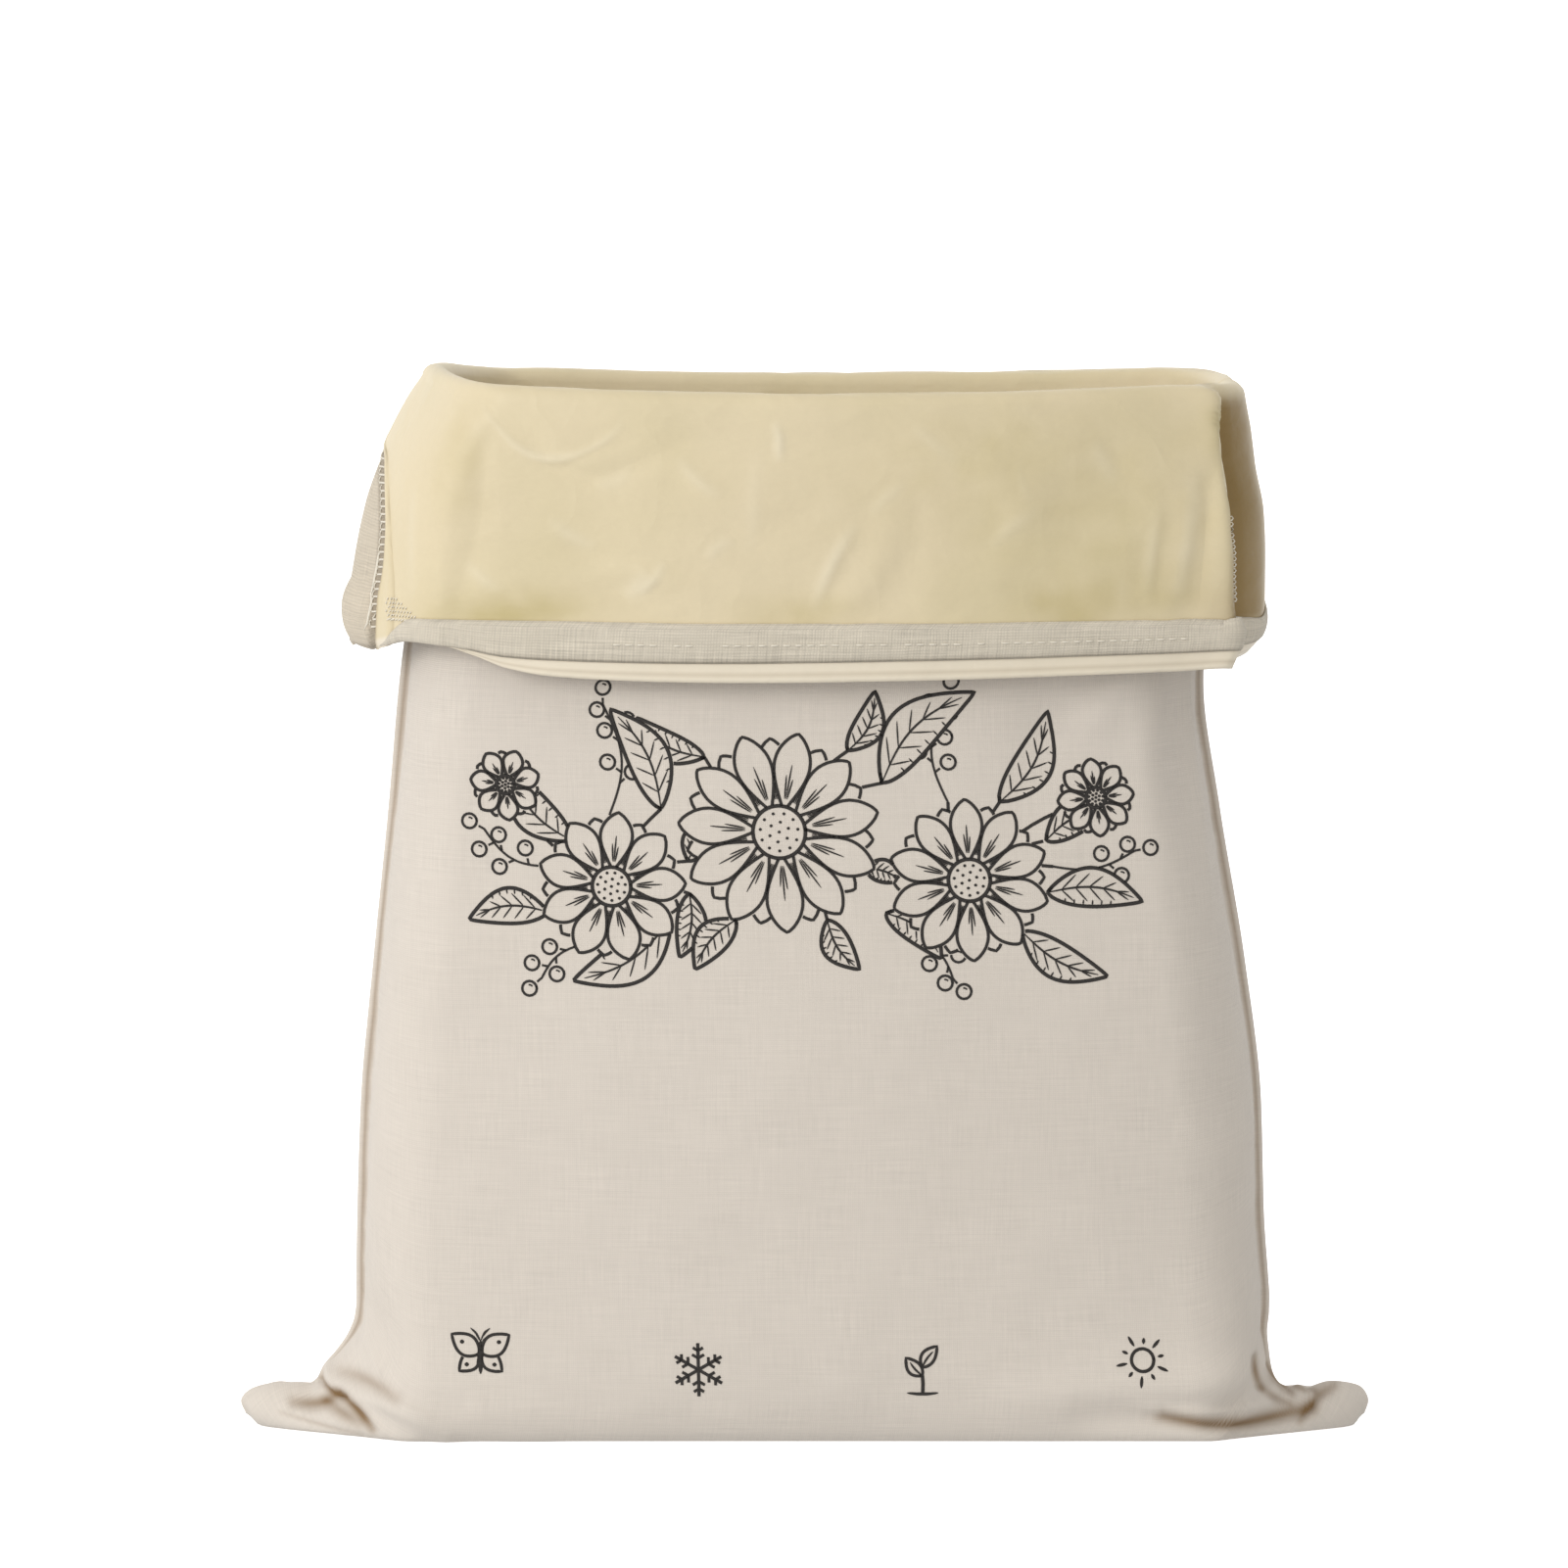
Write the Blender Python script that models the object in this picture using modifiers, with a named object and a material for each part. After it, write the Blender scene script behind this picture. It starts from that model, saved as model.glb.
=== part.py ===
"""A lined linen bread bag that stands open, with its mouth turned down into a cuff.

Two linen panels, front and back, are sewn together down both sides and along the bottom, and a
lining of two such panels lies inside them. The bag has no gusset, so its bottom corners stick out
as ears. The cuff shows the lining, a linen casing strip sewn over it near the mouth edge, and below
that strip the lining's own edge. At its left end the lining's seam is open and the linen shows.
Metres, +Z up, the front faces -Y, and the origin is under the middle of the bag.

Each panel is a loft: rows of points across the panel, from the bottom seam along the floor, up the
wall, over the rim and down the cuff to the mouth edge. The tables are in millimetres.
"""

import math
from collections import namedtuple

import bmesh
import bpy
import numpy as np

MM = 0.001

CLOTH = 1.0  # thickness of a cloth
LAYER_GAP = 0.4  # air between two cloths that lie together
LAYER_STEP = CLOTH + LAYER_GAP
SEAM_GAP = 0.5  # air between the front and back cloths along a seam
SEAM_EDGE = 0.9  # of each cloth, square to the seam
RIM_RADIUS = 2.8  # of the linen's middle, where it turns over the rim
SAME_POINT = 0.01  # nearer than this, two points of a cloth are one

SIDE_COLUMNS = 7  # faces across each side of a panel, from the seam to the corner
FACE_COLUMNS = 10  # faces across the face of a panel, from corner to corner
RIM_TURNS = 4  # faces over the rim
FOLD_END = 0.2  # of half a wave: how far a fold has faded where its line ends

# A row of a panel's wall or floor. left and right: the side seam's place. corner: where the side
# rounds into the face. mid: the middle of the face. full: how square the side's round is.
Row = namedtuple(
    "Row",
    "left_x left_z right_x right_z corner_left corner_right corner_y corner_z mid_y mid_z "
    "left_full right_full",
)

# The floor rows of the linen, from the bottom seam: the side seam runs along the top of the ear,
# and the corner is the ear's edge on the floor.
FLOOR_ROWS = [
    Row(-173.2, 4.2, 173.4, 4.2, -169.5, 170.5, 1, 0.5, 1, 0.5, 0.5, 0.5),
    Row(-174.6, 7.8, 174.5, 8.0, -166.5, 168, 6, 0.5, 6, 0.5, 0.55, 0.55),
    Row(-171.8, 11.2, 172.0, 12.2, -160.5, 161.5, 13, 0.5, 13, 0.5, 0.55, 0.55),
    Row(-163.4, 13.2, 164.5, 13.6, -153, 154, 21, 0.5, 21, 0.5, 0.55, 0.55),
    Row(-155.0, 12.8, 155.0, 11.2, -145, 146.5, 29, 0.5, 29, 0.5, 0.55, 0.55),
    Row(-151.4, 14.4, 147.6, 12.8, -137.5, 139, 37, 0.5, 37, 0.5, 0.55, 0.55),
    Row(-149.0, 18.8, 144.6, 17.6, -129.5, 131.5, 45, 0.5, 44, 0.5, 0.55, 0.55),
    Row(-145.0, 23.6, 143.7, 23.6, -121.5, 124.5, 53, 0.6, 51, 0.5, 0.55, 0.55),
]

# The same rows of the lining, which stays out of the ears.
LINING_FLOOR_ROWS = [
    Row(-145.0, 9.0, 143.0, 9.0, -131, 129, 1, 0.5, 1, 0.5, 0.55, 0.55),
    Row(-145.2, 10.8, 142.8, 10.6, -130, 128, 6, 0.5, 6, 0.5, 0.55, 0.55),
    Row(-145.2, 12.8, 142.4, 12.4, -129, 127.5, 13, 0.5, 13, 0.5, 0.55, 0.55),
    Row(-145.0, 14.9, 141.8, 14.6, -128, 127, 21, 0.5, 21, 0.5, 0.55, 0.55),
    Row(-144.4, 17.0, 141.3, 16.8, -126.5, 126, 29, 0.5, 29, 0.5, 0.55, 0.55),
    Row(-143.5, 19.6, 140.9, 19.4, -124, 125, 37, 0.5, 37, 0.5, 0.55, 0.55),
    Row(-142.2, 22.8, 140.8, 22.6, -121.5, 123, 45, 0.5, 44, 0.5, 0.55, 0.55),
    Row(-140.8, 26.2, 141.0, 26.2, -118.5, 120.5, 53, 0.6, 51, 0.5, 0.55, 0.55),
]

WALL_ROWS = [
    Row(-141.4, 29.0, 143.2, 29.5, -117, 119, 55.5, 3.0, 55.0, 2.6, 0.55, 0.55),
    Row(-139.4, 34.5, 143.8, 35.5, -116, 118, 56.5, 8.5, 58.5, 8.5, 0.55, 0.55),
    Row(-138.9, 39.5, 143.9, 40.5, -115, 118, 55.5, 14.5, 60.5, 14.5, 0.55, 0.55),
    Row(-138.9, 48.0, 143.4, 48.5, -114.5, 117.5, 53.0, 26.0, 62.5, 26.0, 0.55, 0.55),
    Row(-138.6, 66.0, 142.2, 66.0, -114, 116, 50.5, 52.0, 64.5, 52.0, 0.55, 0.55),
    Row(-137.4, 102.0, 141.2, 102.0, -112, 114.5, 50.0, 95.0, 66.0, 95.0, 0.55, 0.55),
    Row(-133.4, 146.0, 136.0, 146.0, -108, 110, 52.0, 143.0, 66.5, 143.0, 0.55, 0.55),
    Row(-128.8, 192.0, 128.4, 192.0, -103.5, 104, 55.0, 191.0, 67.0, 191.0, 0.55, 0.55),
    Row(-125.4, 231.0, 123.2, 231.0, -101, 99.5, 56.5, 230.0, 67.5, 229.5, 0.55, 0.55),
    Row(-121.0, 264.0, 124.6, 262.0, -97, 101, 57.5, 261.5, 69.0, 261.0, 0.5, 0.6),
    Row(-116.0, 296.0, 127.5, 293.5, -92, 105, 59.5, 294.0, 71.5, 292.5, 0.5, 0.65),
    Row(-111.5, 325.6, 128.4, 320.8, -88, 109, 62.0, 321.8, 74.0, 319.7, 0.5, 0.7),
]

# A row of the cuff, which hangs from the rim. down: its share of the way to the casing (up to 1),
# over the casing (up to 2) and to the mouth edge (3). full: as in a wall's row.
Cuff = namedtuple(
    "Cuff", "down left_x right_x corner_left corner_right corner_y mid_y left_full right_full"
)

CUFF_ROWS = [
    Cuff(0.0, -117.1, 134.0, -91, 114, 67.6, 79.6, 0.50, 0.70),
    Cuff(0.12, -122.8, 134.9, -98, 117, 67.4, 79.4, 0.46, 0.74),
    Cuff(0.32, -129.8, 136.4, -105, 119.5, 66.5, 78.8, 0.42, 0.78),
    Cuff(0.55, -135.6, 139.2, -109, 120.5, 65.0, 78.0, 0.38, 0.80),
    Cuff(0.78, -139.0, 139.8, -111, 121, 63.2, 77.2, 0.34, 0.80),
    Cuff(1.0, -141.0, 139.6, -112, 121, 62.0, 76.6, 0.32, 0.76),
    Cuff(2.0, -140.6, 139.2, -112, 120.5, 61.6, 76.4, 0.32, 0.72),
    Cuff(3.0, -139.6, 136.4, -111.5, 119, 61.4, 76.2, 0.32, 0.66),
]

# The mouth edge. place: 0 at the left seam, 1 at the left corner, 2 at the right one, 3 at the
# right seam. casing_high and casing_low: the casing's edges. edge: how far the mouth edge is
# below it.
Mouth = namedtuple("Mouth", "place casing_high casing_low edge")

MOUTH_EDGE = [
    Mouth(0.0, 254.4, 245.4, 0.8),
    Mouth(0.4, 253.4, 244.4, 0.8),
    Mouth(0.75, 254.4, 246.2, 0.8),
    Mouth(1.0, 254.2, 245.6, 1.4),
    Mouth(1.15, 253.8, 242.8, 4.6),
    Mouth(1.35, 253.4, 241.7, 6.0),
    Mouth(1.6, 253.4, 242.0, 6.2),
    Mouth(2.0, 254.0, 244.0, 5.8),
    Mouth(2.5, 256.0, 247.0, 5.0),
    Mouth(3.0, 261.5, 252.5, 3.0),
]

# A soft fold across a panel: a ridge, or a trough where out is negative, along a line from one
# point to the other. across: measured on the cloth from the panel's middle. z: its height.
Fold = namedtuple("Fold", "on across0 z0 across1 z1 width out")

FRONT_FOLDS = [
    # The cloth hangs over itself above the right ear, which is drawn into pleats.
    Fold("wall", 84, 8.0, 148, 11.0, 5.5, -3.2),
    Fold("wall", 66, 15.0, 146, 18.0, 7.0, 2.0),
    Fold("floor", 158, 6.0, 168, 9.0, 4.0, -1.6),
    # A ridge falls from the left ear to the front edge, with a hollow behind it.
    Fold("wall", -148, 20.0, -108, 4.0, 7.0, 2.2),
    Fold("wall", -154, 34.0, -132, 24.0, 9.0, -2.4),
    # The body is dented where the cuff's edge leans on it.
    Fold("wall", 84, 230.0, 72, 208.0, 13.0, -3.0),
    Fold("wall", 122, 234.0, 120, 194.0, 10.0, -2.4),
    Fold("wall", -74, 232.0, -56, 220.0, 13.0, -1.8),
    # The groove at the cuff's right end, behind the front flap's crease.
    Fold("cuff", 146, 318.0, 149, 268.0, 8.0, -8.0),
    Fold("cuff", 131, 318.0, 133, 252.0, 6.0, 2.0),
    # The cuff's soft creases.
    Fold("cuff", -66, 318.0, 10, 312.0, 11.0, -1.8),
    Fold("cuff", 84, 302.0, 62, 268.0, 12.0, -1.6),
]

BACK_FOLDS = [
    Fold("wall", -120, 8.0, -40, 10.0, 6.0, -2.8),
    Fold("wall", 148, 20.0, 108, 4.0, 7.0, 2.2),
    Fold("wall", 50, 230.0, 38, 202.0, 13.0, -2.6),
    Fold("wall", -118, 232.0, -124, 196.0, 12.0, -2.6),
    Fold("cuff", 20, 318.0, 96, 310.0, 12.0, -2.0),
    Fold("cuff", -70, 306.0, -44, 268.0, 12.0, -1.8),
    Fold("cuff", 146, 318.0, 149, 268.0, 9.0, -4.0),
]

SLIT_TOP = 309.0  # below this, down to the casing, the lining's left seam is open
SLIT_EDGE = -129.0  # where the lining's edge stands beside the slit
SLIT_FAR = -168.0  # clear outside the cuff
SLIT_DEPTH = 48.0

Finish = namedtuple("Finish", "colour roughness metallic")
LINEN = Finish((0.78, 0.72, 0.64), 0.90, 0.0)
LINING = Finish((0.82, 0.72, 0.50), 0.45, 0.0)
CASING = Finish((0.66, 0.61, 0.54), 0.92, 0.0)


def smooth_through(places, values, at):
    """A monotone cubic through the table's values, so that a flat stretch stays flat."""
    places, values = np.asarray(places, float), np.asarray(values, float)
    steps = np.diff(places)
    slopes = np.diff(values) / steps
    tangents = np.zeros(len(places))
    tangents[0], tangents[-1] = slopes[0], slopes[-1]
    for i in range(1, len(places) - 1):
        before, after = slopes[i - 1], slopes[i]
        if before * after > 0:
            near, far = 2 * steps[i] + steps[i - 1], steps[i] + 2 * steps[i - 1]
            tangents[i] = (near + far) / (near / before + far / after)
    at = np.clip(at, places[0], places[-1])
    i = np.clip(np.searchsorted(places, at) - 1, 0, len(steps) - 1)
    t = (at - places[i]) / steps[i]
    return (
        values[i] * (1 + 2 * t) * (1 - t) ** 2
        + steps[i] * tangents[i] * t * (1 - t) ** 2
        + values[i + 1] * t * t * (3 - 2 * t)
        + steps[i] * tangents[i + 1] * t * t * (t - 1)
    )


def column_places():
    """Where the columns lie across a panel, from 0 at the left seam to 3 at the right one."""
    side = np.linspace(0, 1, SIDE_COLUMNS + 1)
    face = np.linspace(1, 2, FACE_COLUMNS + 1)
    return np.concatenate([side, face[1:], side[1:] + 2])


def round_side(seam, corner, slope, full, share):
    """From the seam (share 0) to the corner (share 1), leaving the seam square to it and meeting
    the face along its slope."""
    reach = abs(seam[0] - corner[0])
    outward = math.copysign(1, seam[0])
    by_corner = corner + full * reach * np.array([outward, slope, 0])
    by_seam = seam + np.array([0, full * (corner[1] - seam[1]), 0])
    t = share[:, None]
    return (
        seam * (1 - t) ** 3
        + 3 * by_seam * t * (1 - t) ** 2
        + 3 * by_corner * t * t * (1 - t)
        + corner * t**3
    )


def section(row, places, left_z=0.0, right_z=0.0, corner_z=0.0, mid_z=0.0):
    """One row of points across the front panel: its left side, its face and its right side."""
    seam_y = -SEAM_GAP / 2 - SEAM_EDGE
    corner_y, mid_y = min(-row.corner_y, seam_y), min(-row.mid_y, seam_y)
    middle = (row.corner_left + row.corner_right) / 2
    half = (row.corner_right - row.corner_left) / 2
    slope = 2 * (corner_y - mid_y) / half
    left = np.array([row.left_x, seam_y, left_z])
    right = np.array([row.right_x, seam_y, right_z])
    left_corner = np.array([row.corner_left, corner_y, corner_z])
    right_corner = np.array([row.corner_right, corner_y, corner_z])
    across = places * 2 - 3
    points = np.stack(
        [
            middle + half * across,
            mid_y + (corner_y - mid_y) * across**2,
            mid_z + (corner_z - mid_z) * across**2,
        ],
        axis=1,
    )
    on_left, on_right = places < 1, places > 2
    points[on_left] = round_side(left, left_corner, slope, row.left_full, places[on_left])
    points[on_right] = round_side(
        right, right_corner, slope, row.right_full, 3 - places[on_right]
    )
    return points


def wall_section(row, places):
    return section(row, places, row.left_z, row.right_z, row.corner_z, row.mid_z)


def level_normals(points):
    """The level direction out of the bag at each point of a row."""
    along = np.gradient(points, axis=0)
    out = np.stack([along[:, 1], -along[:, 0], np.zeros(len(points))], axis=1)
    out[0], out[-1] = (-1, 0, 0), (1, 0, 0)
    return out / np.linalg.norm(out, axis=1, keepdims=True)


def rim_rows(rim):
    """The rows over the rim, a half circle outwards from the wall's last row."""
    out = level_normals(rim)
    rows = []
    for turn in range(1, RIM_TURNS + 1):
        angle = math.pi * turn / RIM_TURNS
        rise = np.array([0, 0, RIM_RADIUS * math.sin(angle)])
        rows.append(rim + out * RIM_RADIUS * (1 - math.cos(angle)) + rise)
    return rows


def cuff_section(row, places, start):
    """A row of the cuff, hung from the last row over the rim."""
    mouth_places, *columns = zip(*MOUTH_EDGE)
    high, low, edge = (smooth_through(mouth_places, column, places) for column in columns)
    rim = start[:, 2]
    if row.down <= 1:
        height = rim + (high - rim) * row.down
    elif row.down <= 2:
        height = high + (low - high) * (row.down - 1)
    else:
        height = low - edge * (row.down - 2)
    points = start + section(row, places) - section(CUFF_ROWS[0], places)
    points[:, 2] = height
    return points


def across_cloth(points):
    """How far along the cloth each point of a row is from the row's middle."""
    steps = np.linalg.norm(np.diff(points, axis=0), axis=1)
    length = np.concatenate([[0], np.cumsum(steps)])
    return length - length[len(length) // 2]


def nearness(fold, across, height):
    """How near each point is to the fold's line, from 0 to 1, fading towards the line's ends."""
    start, end = np.array([fold.across0, fold.z0]), np.array([fold.across1, fold.z1])
    along = end - start
    places = np.stack([across, height], axis=1) - start
    share = np.clip(places @ along / (along @ along), 0, 1)
    away = np.linalg.norm(places - share[:, None] * along, axis=1)
    fade = np.sin(np.pi * (FOLD_END + (1 - 2 * FOLD_END) * share))
    return fade * np.exp(-((away / fold.width) ** 2))


def folded(rows, folds, on):
    """The rows with the soft folds that lie on them pushed in or out. The seams stay in place."""
    for points in rows:
        out = level_normals(points)
        across = across_cloth(points)
        height = points[:, 2].copy()
        for fold in folds:
            if fold.on == on:
                push = fold.out * nearness(fold, across, height)
                push[[0, -1]] = 0
                points += out * push[:, None]
    return rows


def panel_points(floor_rows, folds):
    """The middle of the front linen as a grid of points from the bottom seam to the mouth edge."""
    places = column_places()
    floor = [wall_section(row, places) for row in floor_rows]
    wall = [wall_section(row, places) for row in WALL_ROWS]
    over = rim_rows(wall[-1])
    cuff = [cuff_section(row, places, over[-1]) for row in CUFF_ROWS[1:]]
    rows = folded(floor, folds, "floor") + folded(wall, folds, "wall") + over
    return np.array(rows + folded(cuff, folds, "cuff"))


def normals_of(grid):
    """The unit normals of a grid of points, out of the linen's good side. Along a side seam they
    stay in the seam's plane, so that the front and back cloths meet edge to edge."""
    across, along = np.gradient(grid, axis=1), np.gradient(grid, axis=0)
    normals = np.cross(across, along)
    normals[:, 0], normals[:, -1] = normals[:, 1], normals[:, -2]
    normals[:, [0, -1], 1] = 0
    return normals / np.linalg.norm(normals, axis=2, keepdims=True)


def layer(grid, steps):
    """The middle of a cloth so many layers in from the linen, kept clear of the seams."""
    moved = grid - normals_of(grid) * LAYER_STEP * steps
    moved[:, :, 1] = np.minimum(moved[:, :, 1], -SEAM_GAP / 2 - SEAM_EDGE)
    return moved


def with_seam_edges(grid, bottom):
    """The grid with a narrow edge square to each seam, so that the thickness stays clear of it."""
    seam_plane = np.array([1, 0, 1])
    to_seam = np.array([0, -SEAM_GAP / 2, 0])
    left = grid[:, :1] * seam_plane + to_seam
    right = grid[:, -1:] * seam_plane + to_seam
    wide = np.concatenate([left, grid, right], axis=1)
    if not bottom:
        return wide
    return np.concatenate([wide[:1] * seam_plane + to_seam, wide], axis=0)


def casing_points(grid):
    """The casing strip, which lies on the lining between two rows of the cuff."""
    down = [row.down for row in CUFF_ROWS]
    first = len(grid) - len(down) + down.index(1.0)
    return layer(grid, 2)[first : first + 2]


def turned_to_back(grid):
    """The front panel's grid turned half round, to be the back's."""
    return (grid * np.array([1, -1, 1]))[:, ::-1]


def material(name, finish):
    made = bpy.data.materials.new(name)
    made.use_nodes = True
    shader = made.node_tree.nodes["Principled BSDF"]
    shader.inputs["Base Color"].default_value = (*finish.colour, 1)
    shader.inputs["Roughness"].default_value = finish.roughness
    shader.inputs["Metallic"].default_value = finish.metallic
    return made


def cloth(name, grid, surface, collection):
    """A cloth on a grid of points: an open surface, given its thickness by Solidify."""
    mesh = bpy.data.meshes.new(name)
    shell = bmesh.new()
    rows = [[shell.verts.new(point * MM) for point in row] for row in grid]
    for below, above in zip(rows, rows[1:]):
        for i in range(len(below) - 1):
            shell.faces.new((below[i], below[i + 1], above[i + 1], above[i]))
    bmesh.ops.remove_doubles(shell, verts=shell.verts, dist=SAME_POINT * MM)
    shell.to_mesh(mesh)
    shell.free()
    mesh.shade_smooth()
    mesh.materials.append(surface)
    made = bpy.data.objects.new(name, mesh)
    collection.objects.link(made)
    thickness = made.modifiers.new("thickness", "SOLIDIFY")
    thickness.thickness = CLOTH * MM
    thickness.offset = 0
    return made


def slit_cutter(collection):
    """A block that opens the lining's left seam on the cuff, as far as the lining's edge."""
    low = MOUTH_EDGE[0].casing_high
    mesh = bpy.data.meshes.new("slit_cutter")
    block = bmesh.new()
    bmesh.ops.create_cube(block, size=1)
    block.to_mesh(mesh)
    block.free()
    cutter = bpy.data.objects.new("slit_cutter", mesh)
    cutter.scale = ((SLIT_EDGE - SLIT_FAR) * MM, 2 * SLIT_DEPTH * MM, (SLIT_TOP - low) * MM)
    cutter.location = ((SLIT_EDGE + SLIT_FAR) / 2 * MM, 0, (SLIT_TOP + low) / 2 * MM)
    cutter.hide_render = True
    cutter.display_type = "WIRE"
    collection.objects.link(cutter)
    return cutter


def cut(target, cutter):
    opening = target.modifiers.new("slit", "BOOLEAN")
    opening.operation = "DIFFERENCE"
    opening.solver = "EXACT"
    opening.object = cutter


def new_collection(name):
    made = bpy.data.collections.new(name)
    bpy.context.scene.collection.children.link(made)
    return made


def build():
    for old in list(bpy.data.objects):
        bpy.data.objects.remove(old)
    bag, cutters = new_collection("bread_bag"), new_collection("cutters")
    linen = material("linen", LINEN)
    lining = material("lining", LINING)
    casing = material("casing", CASING)
    slit = slit_cutter(cutters)
    for side, folds in (("front", FRONT_FOLDS), ("back", BACK_FOLDS)):
        outer = panel_points(FLOOR_ROWS, folds)
        inner = layer(panel_points(LINING_FLOOR_ROWS, folds), 1)
        strip = with_seam_edges(casing_points(outer), bottom=False)
        outer, inner = with_seam_edges(outer, bottom=True), with_seam_edges(inner, bottom=True)
        if side == "back":
            outer, inner, strip = (turned_to_back(grid) for grid in (outer, inner, strip))
        cloth(f"linen_{side}", outer, linen, bag)
        cut(cloth(f"lining_{side}", inner, lining, bag), slit)
        cloth(f"casing_{side}", strip, casing, bag)


build()
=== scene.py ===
"""The looks of a lined linen bread bag that stands open with its mouth turned down into a cuff.

The cloths are thin sheets on the same rows of points as the solids, worked out finer and given
their small creases. Tables are in millimetres, and meshes in metres, in the frame of the model.
"""

import math
from collections import namedtuple

import bpy
import numpy as np
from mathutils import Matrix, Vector, noise


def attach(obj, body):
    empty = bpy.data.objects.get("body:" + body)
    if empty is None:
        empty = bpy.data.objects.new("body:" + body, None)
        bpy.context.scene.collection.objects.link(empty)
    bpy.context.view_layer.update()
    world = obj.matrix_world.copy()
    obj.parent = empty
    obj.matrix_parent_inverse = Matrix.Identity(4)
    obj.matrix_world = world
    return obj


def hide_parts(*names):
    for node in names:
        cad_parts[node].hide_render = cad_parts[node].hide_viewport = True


MM = 0.001

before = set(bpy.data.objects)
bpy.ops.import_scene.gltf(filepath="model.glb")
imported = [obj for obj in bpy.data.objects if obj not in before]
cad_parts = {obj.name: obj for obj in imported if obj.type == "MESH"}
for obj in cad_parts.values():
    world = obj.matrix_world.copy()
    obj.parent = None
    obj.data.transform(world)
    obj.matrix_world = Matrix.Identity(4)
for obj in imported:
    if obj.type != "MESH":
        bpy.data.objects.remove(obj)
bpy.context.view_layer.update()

# ---------------------------------------------------------------------------------------------
# The bag's shape: the rows of its panels, as the solids have them
# ---------------------------------------------------------------------------------------------

REST_LENGTH = 350.0  # the flat panel's width
RIM_RADIUS = 2.8
SEAM_Y = 0.05  # half the gap between the front and back cloths along a seam

Row = namedtuple(
    "Row",
    "left_x left_z right_x right_z corner_left corner_right corner_y corner_z mid_y mid_z "
    "left_full right_full",
    defaults=(0.55, 0.55),
)

FLOOR_ROWS = [
    Row(-173.2, 4.2, 173.4, 4.2, -169.5, 170.5, 1, 0.5, 1, 0.5, 0.5, 0.5),
    Row(-174.6, 7.8, 174.5, 8.0, -166.5, 168, 6, 0.5, 6, 0.5),
    Row(-171.8, 11.2, 172.0, 12.2, -160.5, 161.5, 13, 0.5, 13, 0.5),
    Row(-163.4, 13.2, 164.5, 13.6, -153, 154, 21, 0.5, 21, 0.5),
    Row(-155.0, 12.8, 155.0, 11.2, -145, 146.5, 29, 0.5, 29, 0.5),
    Row(-151.4, 14.4, 147.6, 12.8, -137.5, 139, 37, 0.5, 37, 0.5),
    Row(-149.0, 18.8, 144.6, 17.6, -129.5, 131.5, 45, 0.5, 44, 0.5),
    Row(-145.0, 23.6, 143.7, 23.6, -121.5, 124.5, 53, 0.6, 51, 0.5),
]

LINING_FLOOR_ROWS = [
    Row(-145.0, 9.0, 143.0, 9.0, -131, 129, 1, 0.5, 1, 0.5),
    Row(-145.2, 10.8, 142.8, 10.6, -130, 128, 6, 0.5, 6, 0.5),
    Row(-145.2, 12.8, 142.4, 12.4, -129, 127.5, 13, 0.5, 13, 0.5),
    Row(-145.0, 14.9, 141.8, 14.6, -128, 127, 21, 0.5, 21, 0.5),
    Row(-144.4, 17.0, 141.3, 16.8, -126.5, 126, 29, 0.5, 29, 0.5),
    Row(-143.5, 19.6, 140.9, 19.4, -124, 125, 37, 0.5, 37, 0.5),
    Row(-142.2, 22.8, 140.8, 22.6, -121.5, 123, 45, 0.5, 44, 0.5),
    Row(-140.8, 26.2, 141.0, 26.2, -118.5, 120.5, 53, 0.6, 51, 0.5),
]

WALL_ROWS = [
    Row(-141.4, 29.0, 143.2, 29.5, -117, 119, 55.5, 3.0, 55.0, 2.6),
    Row(-139.4, 34.5, 143.8, 35.5, -116, 118, 56.5, 8.5, 58.5, 8.5),
    Row(-138.9, 39.5, 143.9, 40.5, -115, 118, 55.5, 14.5, 60.5, 14.5),
    Row(-138.9, 48.0, 143.4, 48.5, -114.5, 117.5, 53.0, 26.0, 62.5, 26.0),
    Row(-138.6, 66.0, 142.2, 66.0, -114, 116, 50.5, 52.0, 64.5, 52.0),
    Row(-137.4, 102.0, 141.2, 102.0, -112, 114.5, 50.0, 95.0, 66.0, 95.0),
    Row(-133.4, 146.0, 136.0, 146.0, -108, 110, 52.0, 143.0, 66.5, 143.0),
    Row(-128.8, 192.0, 128.4, 192.0, -103.5, 104, 55.0, 191.0, 67.0, 191.0),
    Row(-125.4, 231.0, 123.2, 231.0, -101, 99.5, 56.5, 230.0, 67.5, 229.5),
    Row(-121.0, 264.0, 124.6, 262.0, -97, 101, 57.5, 261.5, 69.0, 261.0, 0.5, 0.6),
    Row(-116.0, 296.0, 127.5, 293.5, -92, 105, 59.5, 294.0, 71.5, 292.5, 0.5, 0.65),
    Row(-111.5, 325.6, 128.4, 320.8, -88, 109, 62.0, 321.8, 74.0, 319.7, 0.5, 0.7),
]

Cuff = namedtuple(
    "Cuff", "down left_x right_x corner_left corner_right corner_y mid_y left_full right_full"
)

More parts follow.
